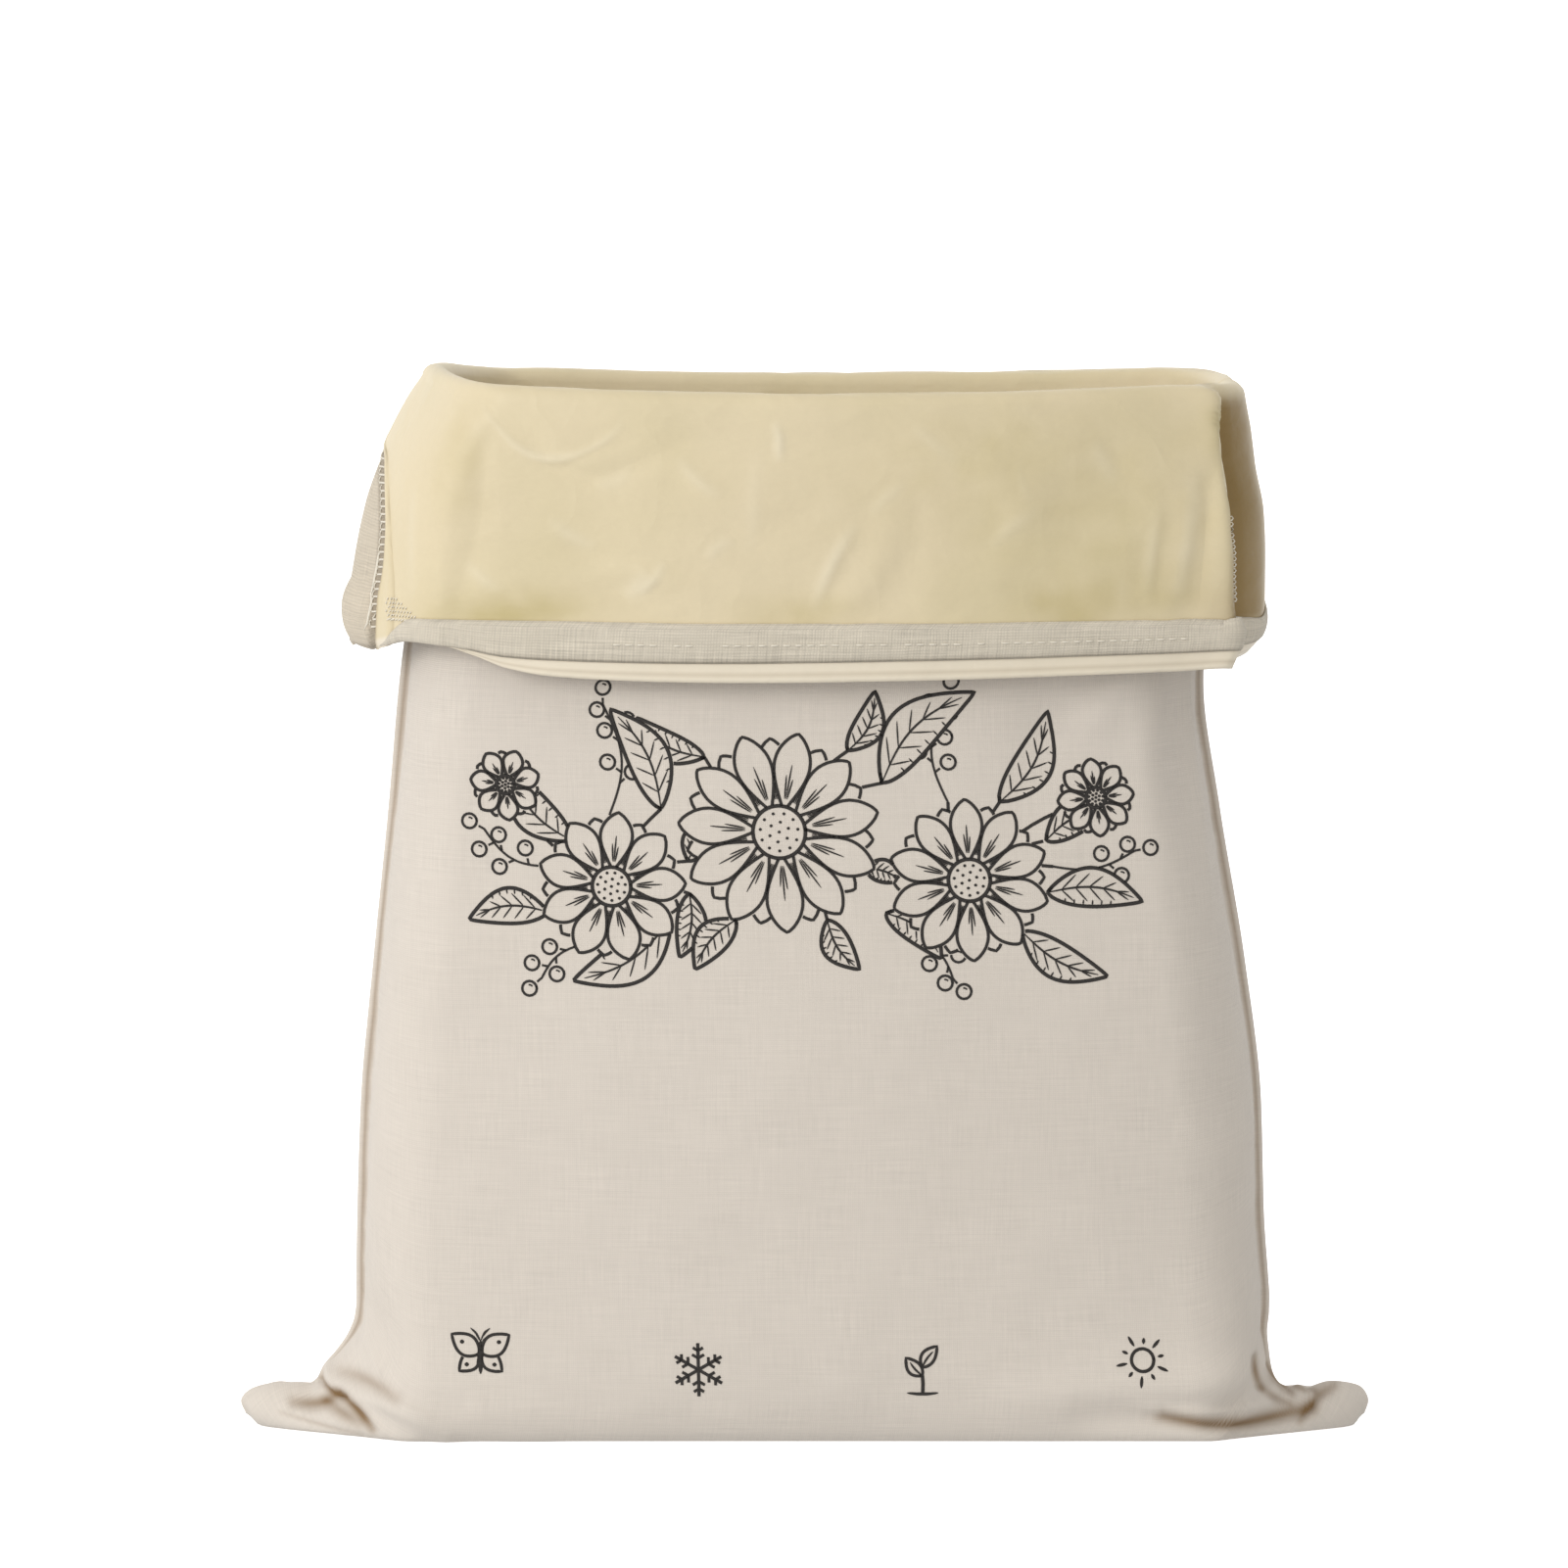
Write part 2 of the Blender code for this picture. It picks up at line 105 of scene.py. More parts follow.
CUFF_ROWS = [
    Cuff(0.0, -117.1, 134.0, -91, 114, 67.6, 79.6, 0.50, 0.70),
    Cuff(0.12, -122.8, 134.9, -98, 117, 67.4, 79.4, 0.46, 0.74),
    Cuff(0.32, -129.8, 136.4, -105, 119.5, 66.5, 78.8, 0.42, 0.78),
    Cuff(0.55, -135.6, 139.2, -109, 120.5, 65.0, 78.0, 0.38, 0.80),
    Cuff(0.78, -139.0, 139.8, -111, 121, 63.2, 77.2, 0.34, 0.80),
    Cuff(1.0, -141.0, 139.6, -112, 121, 62.0, 76.6, 0.32, 0.76),
    Cuff(2.0, -140.6, 139.2, -112, 120.5, 61.6, 76.4, 0.32, 0.72),
    Cuff(3.0, -139.6, 136.4, -111.5, 119, 61.4, 76.2, 0.32, 0.66),
]

Mouth = namedtuple("Mouth", "place casing_high casing_low edge")

MOUTH_EDGE = [
    Mouth(0.0, 254.4, 246.3, 1.5),
    Mouth(0.4, 253.4, 245.3, 1.5),
    Mouth(0.75, 253.8, 248.5, 1.5),
    Mouth(1.0, 254.0, 247.3, 1.5),
    Mouth(1.04, 253.9, 244.6, 1.6),
    Mouth(1.08, 253.9, 242.9, 3.4),
    Mouth(1.15, 253.8, 241.9, 5.1),
    Mouth(1.35, 253.4, 241.3, 6.0),
    Mouth(1.6, 253.4, 242.0, 6.2),
    Mouth(2.0, 254.0, 244.0, 5.8),
    Mouth(2.5, 252.8, 246.0, 4.0),
    Mouth(2.75, 255.0, 248.0, 3.0),
    Mouth(3.0, 259.5, 251.0, 1.5),
]

# The cuff's right end in plan, from the panel's corner (0, 0) to the side seam (1, 1): the front
# flap's crease, the groove behind it and the round side. The groove is shallower at the rim.
Groove = namedtuple("Groove", "share rim_across rim_back across back")

GROOVE = [
    Groove(0.0, 0.0, 0.0, 0.0, 0.0),
    Groove(0.06, 0.30, 0.018, 0.26, 0.018),
    Groove(0.118, 0.60, 0.030, 0.51, 0.028),
    Groove(0.138, 0.670, 0.050, 0.575, 0.044),
    Groove(0.158, 0.655, 0.080, 0.520, 0.070),
    Groove(0.210, 0.560, 0.130, 0.260, 0.110),
    Groove(0.260, 0.520, 0.190, 0.180, 0.190),
    Groove(0.330, 0.610, 0.290, 0.420, 0.290),
    Groove(0.430, 0.780, 0.385, 0.740, 0.385),
    Groove(0.620, 0.960, 0.560, 0.990, 0.560),
    Groove(0.800, 1.020, 0.780, 1.043, 0.780),
    Groove(1.0, 1.0, 1.0, 1.0, 1.0),
]
GROOVE_EASE = 10.0  # how far below the rim the groove has its full depth
GROOVE_TURN = (0.1, 1.0)  # of the turn over the rim, where the groove begins
GROOVE_END = (0.93, 1.12)  # in the cuff's rows, where it nearly closes under the casing
GROOVE_CLOSED = 0.85  # how much of it closes there

# The lining's edge beside its open seam, and the width of its hem, which flares at its foot.
Edge = namedtuple("Edge", "z x hem")

SLIT_LINE = [
    Edge(244.0, -130.5, 9.0),
    Edge(258.2, -129.9, 8.5),
    Edge(267.4, -128.2, 5.3),
    Edge(273.5, -127.6, 3.4),
    Edge(281.6, -127.2, 1.9),
    Edge(294.5, -127.6, 1.8),
    Edge(304.7, -127.9, 2.0),
    Edge(309.0, -127.2, 1.0),
]

# A soft fold: a ridge, or a trough where out is negative, along a line from one point to the other.
# across: on the cloth, from the panel's middle, or for a fold at the foot the place along X.
# z: its height. bow: how far the line's middle is pushed to its left.
Fold = namedtuple("Fold", "on across0 z0 across1 z1 width out bow", defaults=(0.0,))

FRONT_FOLDS = [
    Fold("wall", 84, 8.0, 148, 11.0, 5.5, -3.2),
    Fold("wall", 66, 15.0, 146, 18.0, 7.0, 2.0),
    Fold("wall", -148, 20.0, -108, 4.0, 7.0, 2.2),
    Fold("wall", -154, 34.0, -132, 24.0, 9.0, -2.4),
    Fold("wall", 84, 230.0, 72, 208.0, 13.0, -3.0),
    Fold("wall", 122, 234.0, 120, 194.0, 10.0, -2.4),
    Fold("wall", -74, 232.0, -56, 220.0, 13.0, -1.8),
    Fold("cuff", -66, 318.0, 10, 312.0, 11.0, -1.8),
    Fold("cuff", 84, 302.0, 62, 268.0, 12.0, -1.6),
]

BACK_FOLDS = [
    Fold("wall", -120, 8.0, -40, 10.0, 6.0, -2.8),
    Fold("wall", 148, 20.0, 108, 4.0, 7.0, 2.2),
    Fold("wall", 50, 230.0, 38, 202.0, 13.0, -2.6),
    Fold("wall", -118, 232.0, -124, 196.0, 12.0, -2.6),
    Fold("cuff", 20, 318.0, 96, 310.0, 12.0, -2.0),
    Fold("cuff", -70, 306.0, -44, 268.0, 12.0, -1.8),
    Fold("cuff", 146, 318.0, 149, 268.0, 9.0, -4.0),
]

# ---------------------------------------------------------------------------------------------
# What the scene adds: finer rows, small creases, the seam's lip and the lining's open seam
# ---------------------------------------------------------------------------------------------

LINEN_THICK = 0.7
LINING_THICK = 0.6
CASING_THICK = 0.5
LAYER_STEP = 1.0  # between the middles of the linen and the lining
OVER_FLOOR = 0.1  # the least air under the linen

SLIT_TOP = SLIT_LINE[-1].z
SLIT_EASE = 7.0  # the height over which the lining's edge leaves the seam

LIP = 3.2  # how far the side seam's pressed edge stands out
LIP_ROOT = 1.1  # how quickly it narrows to its root
LIP_EASE = 26.0  # how far around the side the cloth is drawn in behind it
LIP_GROWS = (18, 34)  # the heights over which it grows from LIP_AT_FOOT of this to all of it
LIP_AT_FOOT = 0.35
LIP_FADES = (296, 318)  # the heights over which it fades towards the rim

SMALL_FRONT_FOLDS = [
    # Right ear: pleats that fan out from the foot of the side seam, over a long fold.
    Fold("foot", 138.4, 24.5, 141, 13.5, 1.1, -1.7, -0.8),
    Fold("foot", 141.0, 21.5, 147.5, 12.0, 0.9, 1.3, -1.2),
    Fold("foot", 143.0, 19.5, 151, 10.6, 0.9, -1.5, -1.2),
    Fold("foot", 144.5, 18.6, 155, 10.4, 0.9, 1.3, -1.4),
    Fold("foot", 147.0, 17.0, 158, 11.2, 0.9, -1.2, -1.2),
    Fold("foot", 140.5, 14.5, 150, 8.4, 1.0, -1.1, -1.0),
    Fold("foot", 150, 18.5, 165, 14.6, 1.3, 0.8, -1.0),
    Fold("foot", 104, 11.8, 155, 10.4, 2.1, 1.9, -3.0),
    Fold("foot", 109, 8.4, 157, 6.8, 2.0, -2.0, -2.6),
    Fold("foot", 153, 3.4, 164, 12.6, 1.4, -1.3, 1.2),
    Fold("foot", 157, 4.4, 168, 13.2, 1.7, 0.9, 1.2),
    # Left ear: creases that meet at the notch under the side seam.
    Fold("foot", -149.5, 15.0, -141.5, 12.6, 1.2, -1.6, -0.8),
    Fold("foot", -147.5, 19.5, -146, 15.2, 1.2, 1.2),
    Fold("foot", -143.5, 12.8, -133, 3.4, 1.5, -1.9, 0.9),
    Fold("foot", -141, 13.4, -110, 3.2, 2.6, 1.7, 2.0),
    Fold("foot", -143, 18.8, -126, 13.6, 2.0, -0.9, 1.4),
    Fold("foot", -144, 12.0, -158, 8.4, 1.8, -1.4, 1.6),
    Fold("foot", -147, 9.2, -137.5, 5.0, 2.2, -1.2),
    Fold("foot", -151, 11.6, -166, 10.6, 1.6, 0.8, -0.8),
    Fold("foot", -162, 5.4, -136, 1.4, 0.7, -0.5, -0.6),
    Fold("wall", -128, 22.0, -84, 5.0, 6.0, 0.8, 3.0),
    # Under the cuff.
    Fold("wall", 98, 236.0, 76, 214.0, 5.0, 1.2, 3.0),
    Fold("wall", 108, 236.0, 92, 204.0, 6.0, -0.8, 2.0),
    Fold("wall", -70, 236.0, -30, 226.0, 5.0, 0.7, -3.0),
    Fold("wall", -112, 236.0, -120, 200.0, 4.0, 0.7),
    Fold("wall", 134, 236.0, 132, 170.0, 4.0, 0.8),
    # The wall's slow unevenness.
    Fold("wall", -60, 120.0, 20, 90.0, 34.0, 0.7, 10.0),
    Fold("wall", 30, 170.0, 110, 120.0, 28.0, -0.6, -8.0),
    Fold("wall", -118, 150.0, -96, 60.0, 20.0, 0.6),
    Fold("wall", 128, 120.0, 112, 40.0, 16.0, -0.7),
    # The cuff's small creases.
    Fold("cuff", -100, 319.0, -54, 315.0, 1.7, 0.9, -15.0),
    Fold("cuff", -103, 316.0, -52, 311.0, 4.5, -0.9, -15.0),
    Fold("cuff", -76, 268.0, -42, 262.0, 3.0, 1.0, 4.0),
    Fold("cuff", -84, 282.0, -60, 258.0, 5.0, -0.7, -3.0),
    Fold("cuff", -50, 302.0, -24, 286.0, 4.0, 0.7, -3.0),
    Fold("cuff", -30, 274.0, -8, 290.0, 3.5, -0.6, 2.0),
    Fold("cuff", 16, 288.0, 2, 258.0, 3.5, 1.1, 3.0),
    Fold("cuff", 22, 286.0, 10, 256.0, 5.0, -1.0, 3.0),
    Fold("cuff", 38, 306.0, 54, 284.0, 4.0, 0.8, 3.0),
    Fold("cuff", 60, 296.0, 48, 262.0, 4.0, 0.7, -2.0),
    Fold("cuff", 78, 312.0, 88, 286.0, 4.5, -0.7, 2.0),
    Fold("cuff", 105, 290.0, 100, 257.0, 2.6, 1.2, 2.0),
    Fold("cuff", 112, 298.0, 108, 256.0, 3.2, -1.1, 2.0),
    Fold("cuff", 118, 316.0, 113, 284.0, 3.0, -0.8),
    Fold("cuff", -112, 312.0, -117, 262.0, 4.0, -0.8, 3.0),
]

SMALL_BACK_FOLDS = [
    Fold("foot", 142, 21.0, 155, 10.6, 1.3, 1.5, -1.4),
    Fold("foot", 141, 17.0, 152, 8.4, 1.2, -1.5, -1.2),
    Fold("foot", 118, 4.8, 154, 4.0, 1.5, -1.4, -1.0),
    Fold("foot", -149, 15.0, -141, 12.0, 1.3, -1.5, -0.8),
    Fold("foot", -143, 12.6, -131, 3.6, 1.6, -1.8, 1.0),
    Fold("foot", -141, 14.0, -112, 4.0, 2.6, 1.5, 2.0),
    Fold("wall", -128, 22.0, -84, 5.0, 6.0, 0.8, 3.0),
    Fold("wall", 60, 236.0, 40, 206.0, 5.0, 1.2, 3.0),
    Fold("wall", -50, 130.0, 40, 80.0, 34.0, 0.8, 12.0),
    Fold("wall", -20, 190.0, -100, 150.0, 26.0, -0.7, -8.0),
    Fold("cuff", -60, 314.0, -10, 312.0, 3.5, 0.9, 12.0),
    Fold("cuff", 30, 300.0, 56, 258.0, 8.0, 0.9, 5.0),
    Fold("cuff", -96, 304.0, -84, 262.0, 6.0, -0.9, 3.0),
]

FOOT_STEP = 0.9  # between the fine rows on the floor and up to FOOT_RUN
FOOT_RUN = 78.0
WALL_STEP = 3.2
RIM_STEPS = 8
CUFF_STEPS = 38
CASING_STEPS = 6
EDGE_STEPS = 5

# Places of the fine columns, as distances from the seam: close on the lip, then wider.
LIP_COLUMNS = (0.0, 0.3, 0.7, 1.2, 1.8, 2.6, 3.6)
SIDE_STEP = 1.3
CREASE_FROM = 50.0  # the columns are close again about the flap's crease
CREASE_STEP = 1.2
SIDE_REACH = 82.0
FACE_STEP = 3.5

# Close places along a line, from which the fine ones are picked by distance.
CLOSE_UP = 1500
CLOSE_SIDE = 131
CLOSE_FACE = 141

FOLD_END = 0.2  # of half a wave: how far a fold has faded where its line ends
FOLD_START = (0, 8)  # the rows after the rim over which the cuff's folds begin
FOLD_HELD = (0, 5)  # how far from a seam a large fold has its full depth
SMALL_HELD = (0, 3)  # the same for what is small
WAVE_HELD = (3, 16)  # the heights over which the cloth's unevenness begins

# The cloth's unevenness: how far its waves stand out, their size and what is added to the seed.
Wave = namedtuple("Wave", "out size seed")

SLOW_WAVE = Wave(0.8, 46, 0)
QUICK_WAVE = Wave(0.35, 19, 7)
PUCKER = Wave(0.45, 6.5, 3)
PUCKER_REACH = 9.0  # from a seam
PUCKER_STRETCH = 0.35  # its waves are so much closer up the cloth than across it
PUCKER_START = (0.5, 3)  # how far from the seam it begins
PUCKER_LOST = 0.7  # how much of it is gone on the cuff


def smooth_through(places, values, at):
    """A monotone cubic through the table's values, so that a flat stretch stays flat."""
    places, values = np.asarray(places, float), np.asarray(values, float)
    steps = np.diff(places)
    slopes = np.diff(values) / steps
    tangents = np.zeros(len(places))
    tangents[0], tangents[-1] = slopes[0], slopes[-1]
    for i in range(1, len(places) - 1):
        before, after = slopes[i - 1], slopes[i]
        if before * after > 0:
            near, far = 2 * steps[i] + steps[i - 1], steps[i] + 2 * steps[i - 1]
            tangents[i] = (near + far) / (near / before + far / after)
    at = np.clip(at, places[0], places[-1])
    i = np.clip(np.searchsorted(places, at) - 1, 0, len(steps) - 1)
    t = (at - places[i]) / steps[i]
    return (
        values[i] * (1 + 2 * t) * (1 - t) ** 2
        + steps[i] * tangents[i] * t * (1 - t) ** 2
        + values[i + 1] * t * t * (3 - 2 * t)
        + steps[i] * tangents[i + 1] * t * t * (t - 1)
    )


def ease(low, high, at):
    """From 0 below low to 1 above high, smoothly."""
    t = np.clip((np.asarray(at, float) - low) / (high - low), 0, 1)
    return t * t * (3 - 2 * t)


def lengths_along(points):
    """The distance along a line of points, from its first."""
    steps = np.linalg.norm(np.diff(points, axis=0), axis=1)
    return np.concatenate([[0], np.cumsum(steps)])


def dense_places():
    """Close places across a panel, from 0 at the left seam to 3 at the right one."""
    side, face = np.linspace(0, 1, CLOSE_SIDE), np.linspace(1, 2, CLOSE_FACE)
    return np.concatenate([side, face[1:], side[1:] + 2])


def round_side(seam, corner, slope, full, share):
    """A bent side from the seam to the corner, which meets the face without a kink."""
    reach = abs(seam[0] - corner[0])
    outward = math.copysign(1, seam[0])
    by_corner = corner + full * reach * np.array([outward, slope, 0])
    by_seam = seam + np.array([0, full * (corner[1] - seam[1]), 0])
    t = share[:, None]
    return (
        seam * (1 - t) ** 3
        + 3 * by_seam * t * (1 - t) ** 2
        + 3 * by_corner * t * t * (1 - t)
        + corner * t**3
    )


def section(row, places, left_z=0.0, right_z=0.0, corner_z=0.0, mid_z=0.0):
    """One row of points across the front panel: its left side, its face and its right side."""
    corner_y, mid_y = min(-row.corner_y, -SEAM_Y), min(-row.mid_y, -SEAM_Y)
    middle = (row.corner_left + row.corner_right) / 2
    half = (row.corner_right - row.corner_left) / 2
    slope = 2 * (corner_y - mid_y) / half
    left = np.array([row.left_x, -SEAM_Y, left_z])
    right = np.array([row.right_x, -SEAM_Y, right_z])
    left_corner = np.array([row.corner_left, corner_y, corner_z])
    right_corner = np.array([row.corner_right, corner_y, corner_z])
    across = places * 2 - 3
    points = np.stack(
        [
            middle + half * across,
            mid_y + (corner_y - mid_y) * across**2,
            mid_z + (corner_z - mid_z) * across**2,
        ],
        axis=1,
    )
    on_left, on_right = places < 1, places > 2
    points[on_left] = round_side(left, left_corner, slope, row.left_full, places[on_left])
    points[on_right] = round_side(
        right, right_corner, slope, row.right_full, 3 - places[on_right]
    )
    return points


def level_normals(points):
    """The level direction out of the bag at each point of a row."""
    along = np.gradient(points, axis=0)
    out = np.stack([along[:, 1], -along[:, 0], np.zeros(len(points))], axis=1)
    out[0], out[-1] = (-1, 0, 0), (1, 0, 0)
    return out / np.linalg.norm(out, axis=1, keepdims=True)


def wall_rows(floor_rows, places):
    """The fine rows from the bottom seam to the rim."""
    table = floor_rows + WALL_ROWS
    keys = np.arange(len(table))
    columns = Row(*zip(*table))
    close = np.linspace(0, keys[-1], CLOSE_UP)
    middle = [smooth_through(keys, column, close) for column in (columns.mid_y, columns.mid_z)]
    run = lengths_along(np.stack(middle, axis=1))
    foot = np.arange(0, FOOT_RUN, FOOT_STEP)
    wall = np.linspace(FOOT_RUN, run[-1], round((run[-1] - FOOT_RUN) / WALL_STEP) + 1)
    at = np.interp(np.concatenate([foot, wall]), run, close)
    fields = np.array([smooth_through(keys, column, at) for column in columns]).T
    rows = []
    for values in fields:
        row = Row(*values)
        rows.append(section(row, places, row.left_z, row.right_z, row.corner_z, row.mid_z))
    return rows


def rim_rows(rim, places, flap):
    """The fine rows over the rim. With a flap, the groove at its right end begins in them."""
    out = level_normals(rim)
    rows = []
    for turn in range(1, RIM_STEPS + 1):
        angle = math.pi * turn / RIM_STEPS
        rise = np.array([0, 0, RIM_RADIUS * math.sin(angle)])
        points = rim + out * RIM_RADIUS * (1 - math.cos(angle)) + rise
        if flap:
            points = with_groove(points, places, ease(*GROOVE_TURN, turn / RIM_STEPS), 0.0)
        rows.append(points)
    return rows


def with_groove(points, places, weight, depth):
    """The row with its right side laid in the groove. depth: 0 as at the rim, 1 as below it."""
    shares, rim_across, rim_back, across, back = (np.array(column) for column in zip(*GROOVE))
    across = rim_across + (across - rim_across) * depth
    back = rim_back + (back - rim_back) * depth
    side = places >= 2
    corner, seam = points[side][0].copy(), points[-1].copy()
    share = places[side] - 2
    plan = np.stack(
        [
            corner[0] + smooth_through(shares, across, share) * (seam[0] - corner[0]),
            corner[1] + smooth_through(shares, back, share) * (seam[1] - corner[1]),
        ],
        axis=1,
    )
    points[side, :2] += weight * (plan - points[side, :2])
    return points


def cuff_rows(start, places, flap):
    """The fine rows of the cuff, hung from the last row over the rim."""
    keys = [row.down for row in CUFF_ROWS]
    parts = enumerate((CUFF_STEPS, CASING_STEPS, EDGE_STEPS))
    downs = np.concatenate([np.linspace(i, i + 1, steps + 1)[1:] for i, steps in parts])
    mouth_places, *columns = zip(*MOUTH_EDGE)
    high, low, edge = (smooth_through(mouth_places, column, places) for column in columns)
    first = section(CUFF_ROWS[0], places)
    rows = []
    for down in downs:
        row = Cuff(*(float(smooth_through(keys, column, down)) for column in zip(*CUFF_ROWS)))
        points = start + section(row, places) - first
        if down <= 1:
            points[:, 2] = start[:, 2] + (high - start[:, 2]) * down
        elif down <= 2:
            points[:, 2] = high + (low - high) * (down - 1)
        else:
            points[:, 2] = low - edge * (down - 2)
        if flap:
            fallen = start[-1, 2] - points[-1, 2]
            groove = 1 - GROOVE_CLOSED * ease(*GROOVE_END, down)
            points = with_groove(points, places, groove, ease(0, GROOVE_EASE, fallen))
        rows.append(points)
    return rows


def drawn_in(points, weight, lip):
    """The row drawn in beside its side seams. With a lip, the seam's pressed edge stands out."""
    length = lengths_along(points)
    for away, inward in ((length, 1), (length[-1] - length, -1)):
        drawn = LIP * np.exp(-((away / LIP_EASE) ** 2))
        if lip:
            drawn *= 1 - np.exp(-((away / LIP_ROOT) ** 2))
        points[:, 0] += inward * weight * drawn
    return points


def column_distances(length, start):
    """The places of the fine columns along a row, from its start to its end."""
    side = np.arange(LIP_COLUMNS[-1] + SIDE_STEP, CREASE_FROM - SIDE_STEP / 2, SIDE_STEP)
    crease = np.arange(CREASE_FROM, SIDE_REACH - CREASE_STEP / 2, CREASE_STEP)
    half = REST_LENGTH / 2
    face = np.linspace(SIDE_REACH, half, round((half - SIDE_REACH) / FACE_STEP) + 1)
    near = np.concatenate([LIP_COLUMNS, side, crease, face])
    stretched = np.where(
        near <= SIDE_REACH,
        near,
        SIDE_REACH + (near - SIDE_REACH) * (length / 2 - SIDE_REACH) / (half - SIDE_REACH),
    )
    places = np.concatenate([stretched, length - stretched[-2::-1]])
    if start > 0:
        left = places < SIDE_REACH
        places[left] = start + places[left] * (SIDE_REACH - start) / SIDE_REACH
    return places


def near_fold(fold, across, height):
    """How near each point is to the fold's line, from 0 to 1, fading towards the line's ends."""
    start, end = np.array([fold.across0, fold.z0]), np.array([fold.across1, fold.z1])
    along = end - start
    reach = np.linalg.norm(along)
    side = np.array([-along[1], along[0]]) / reach
    places = np.stack([across, height], axis=-1) - start
    share = np.clip(places @ along / reach**2, 0, 1)
    bowed = places @ side - fold.bow * np.sin(np.pi * share)
    past = places @ along / reach - share * reach
    away = np.hypot(bowed, past)
    fade = np.sin(np.pi * (FOLD_END + (1 - 2 * FOLD_END) * share))
    return fade * np.exp(-((away / fold.width) ** 2))


# A panel's grid: its points and normals, each point's place across and along the flat cloth, the
# first rows on the rim and on the cuff, and how far each point is from the nearer side seam.
Sheet = namedtuple("Sheet", "points normals across run first_rim first_cuff seam")


def normals_of(grid):
    """The normal at each point of a grid."""
    across, along = np.gradient(grid, axis=1), np.gradient(grid, axis=0)
    normals = np.cross(across, along)
    size = np.linalg.norm(normals, axis=2, keepdims=True)
    return normals / np.maximum(size, 1e-9)


def cloth_noise(across, run, size, seed):
    """Smooth noise over the cloth, about -1 to 1, of that size in millimetres."""
    flat = np.stack([across.ravel() / size, run.ravel() / size], axis=1)
    values = [noise.noise(Vector((x, y, seed))) for x, y in flat]
    return np.array(values).reshape(across.shape)


def panel(floor_rows, folds, small_folds, seed, front, lip, slit):
    """A panel of the bag as a fine grid of points, with its folds, from the bottom seam up."""
    places = dense_places()
    wall = wall_rows(floor_rows, places)
    count = len(wall)
    over = rim_rows(wall[-1], places, flap=front)
    cuff = cuff_rows(over[-1], places, flap=front)
    for points in wall:
        height = points[0, 2]
        grown = LIP_AT_FOOT + (1 - LIP_AT_FOOT) * ease(*LIP_GROWS, height)
        drawn_in(points, grown * (1 - ease(*LIP_FADES, height)), lip)
    rows, across, seam = [], [], []
    for i, points in enumerate(wall + over + cuff):
        length = lengths_along(points)
        start = slit_start(points, length) if slit and i >= count + len(over) else 0.0
        at = column_distances(length[-1], start)
        rows.append(np.stack([np.interp(at, length, points[:, k]) for k in range(3)], axis=1))
        across.append(at - length[-1] / 2)
        seam.append(np.minimum(at - start, length[-1] - at))
    grid, across, seam = np.array(rows), np.array(across), np.array(seam)
    middle = grid.shape[1] // 2
    run = np.repeat(lengths_along(grid[:, middle])[:, None], grid.shape[1], axis=1)
    grid = folded(grid, across, run, seam, count, folds, small_folds, seed)
    return Sheet(grid, normals_of(grid), across, run, count, count + len(over), seam)


def slit_x(height):
    """Where the lining's edge is beside its open seam, at each height."""
    heights, places, _ = zip(*SLIT_LINE)
    return smooth_through(heights, places, height)


def slit_start(points, length):
    """How far from the left seam the lining begins, where its seam is open on the cuff."""
    gone = ease(0, SLIT_EASE, SLIT_TOP - points[0, 2])
    left = points[: len(points) // 3]
    edge = np.interp(slit_x(left[len(left) // 2, 2]), left[:, 0], length[: len(left)])
    return float(gone * max(edge, 0.0))


def folded(grid, across, run, seam, count, folds, small_folds, seed):
    """The grid with its folds pushed in or out, and its slow and small unevenness."""
    cuff_from = count + RIM_STEPS
    on_cuff = np.zeros(grid.shape[:2])
    on_cuff[cuff_from:] = ease(*FOLD_START, np.arange(len(grid) - cuff_from))[:, None]
    on_wall = np.zeros(grid.shape[:2])
    on_wall[:count] = 1
    height = grid[:, :, 2].copy()
    level = np.array([level_normals(row) for row in grid])
    push = np.zeros(grid.shape[:2])
    for fold in folds:
        where = on_cuff if fold.on == "cuff" else on_wall
        push += fold.out * near_fold(fold, across, height) * where
    grid = grid + level * (push * ease(*FOLD_HELD, seam))[:, :, None]
    small = np.zeros(grid.shape[:2])
    for fold in small_folds:
        where = on_cuff if fold.on == "cuff" else on_wall
        place = grid[:, :, 0] if fold.on == "foot" else across
        small += fold.out * near_fold(fold, place, height) * where
    from_rim = run - run[count - 1, 0]

    def waves(wave, squeeze=1.0):
        return wave.out * cloth_noise(across * squeeze, from_rim, wave.size, seed + wave.seed)

    pucker = waves(PUCKER, PUCKER_STRETCH) * np.exp(-((seam / PUCKER_REACH) ** 2))
    pucker *= (1 - PUCKER_LOST * on_cuff) * ease(*PUCKER_START, seam)
    uneven = waves(SLOW_WAVE) + waves(QUICK_WAVE) + pucker
    total = small + uneven * ease(*WAVE_HELD, height)
    signs = np.ones(grid.shape[:2])
    signs[cuff_from - RIM_STEPS // 2 :] = -1
    grid = grid + normals_of(grid) * (total * signs * ease(*SMALL_HELD, seam))[:, :, None]
    grid[:, :, 1] = np.minimum(grid[:, :, 1], -SEAM_Y)
    grid[:, :, 2] = np.maximum(grid[:, :, 2], LINEN_THICK / 2 + OVER_FLOOR)
    return grid


# The linen's free corner at the cuff's left end, which is round and rolls under.
CORNER_TOP = 264.0
CORNER_HIGH = 19.0
CORNER_X = (-134.5, -130.0)  # it is whole to the left of the first, and ends at the second
CORNER_BULGE = 2.2
CORNER_TUCK = 1.4  # how far its edge goes in
CORNER_TUCKED = (0.72, 1.1)  # of its height, where it goes in
CORNER_DROP = 2.0
CORNER_START = (0, 4)  # how far from the seam it has all of this

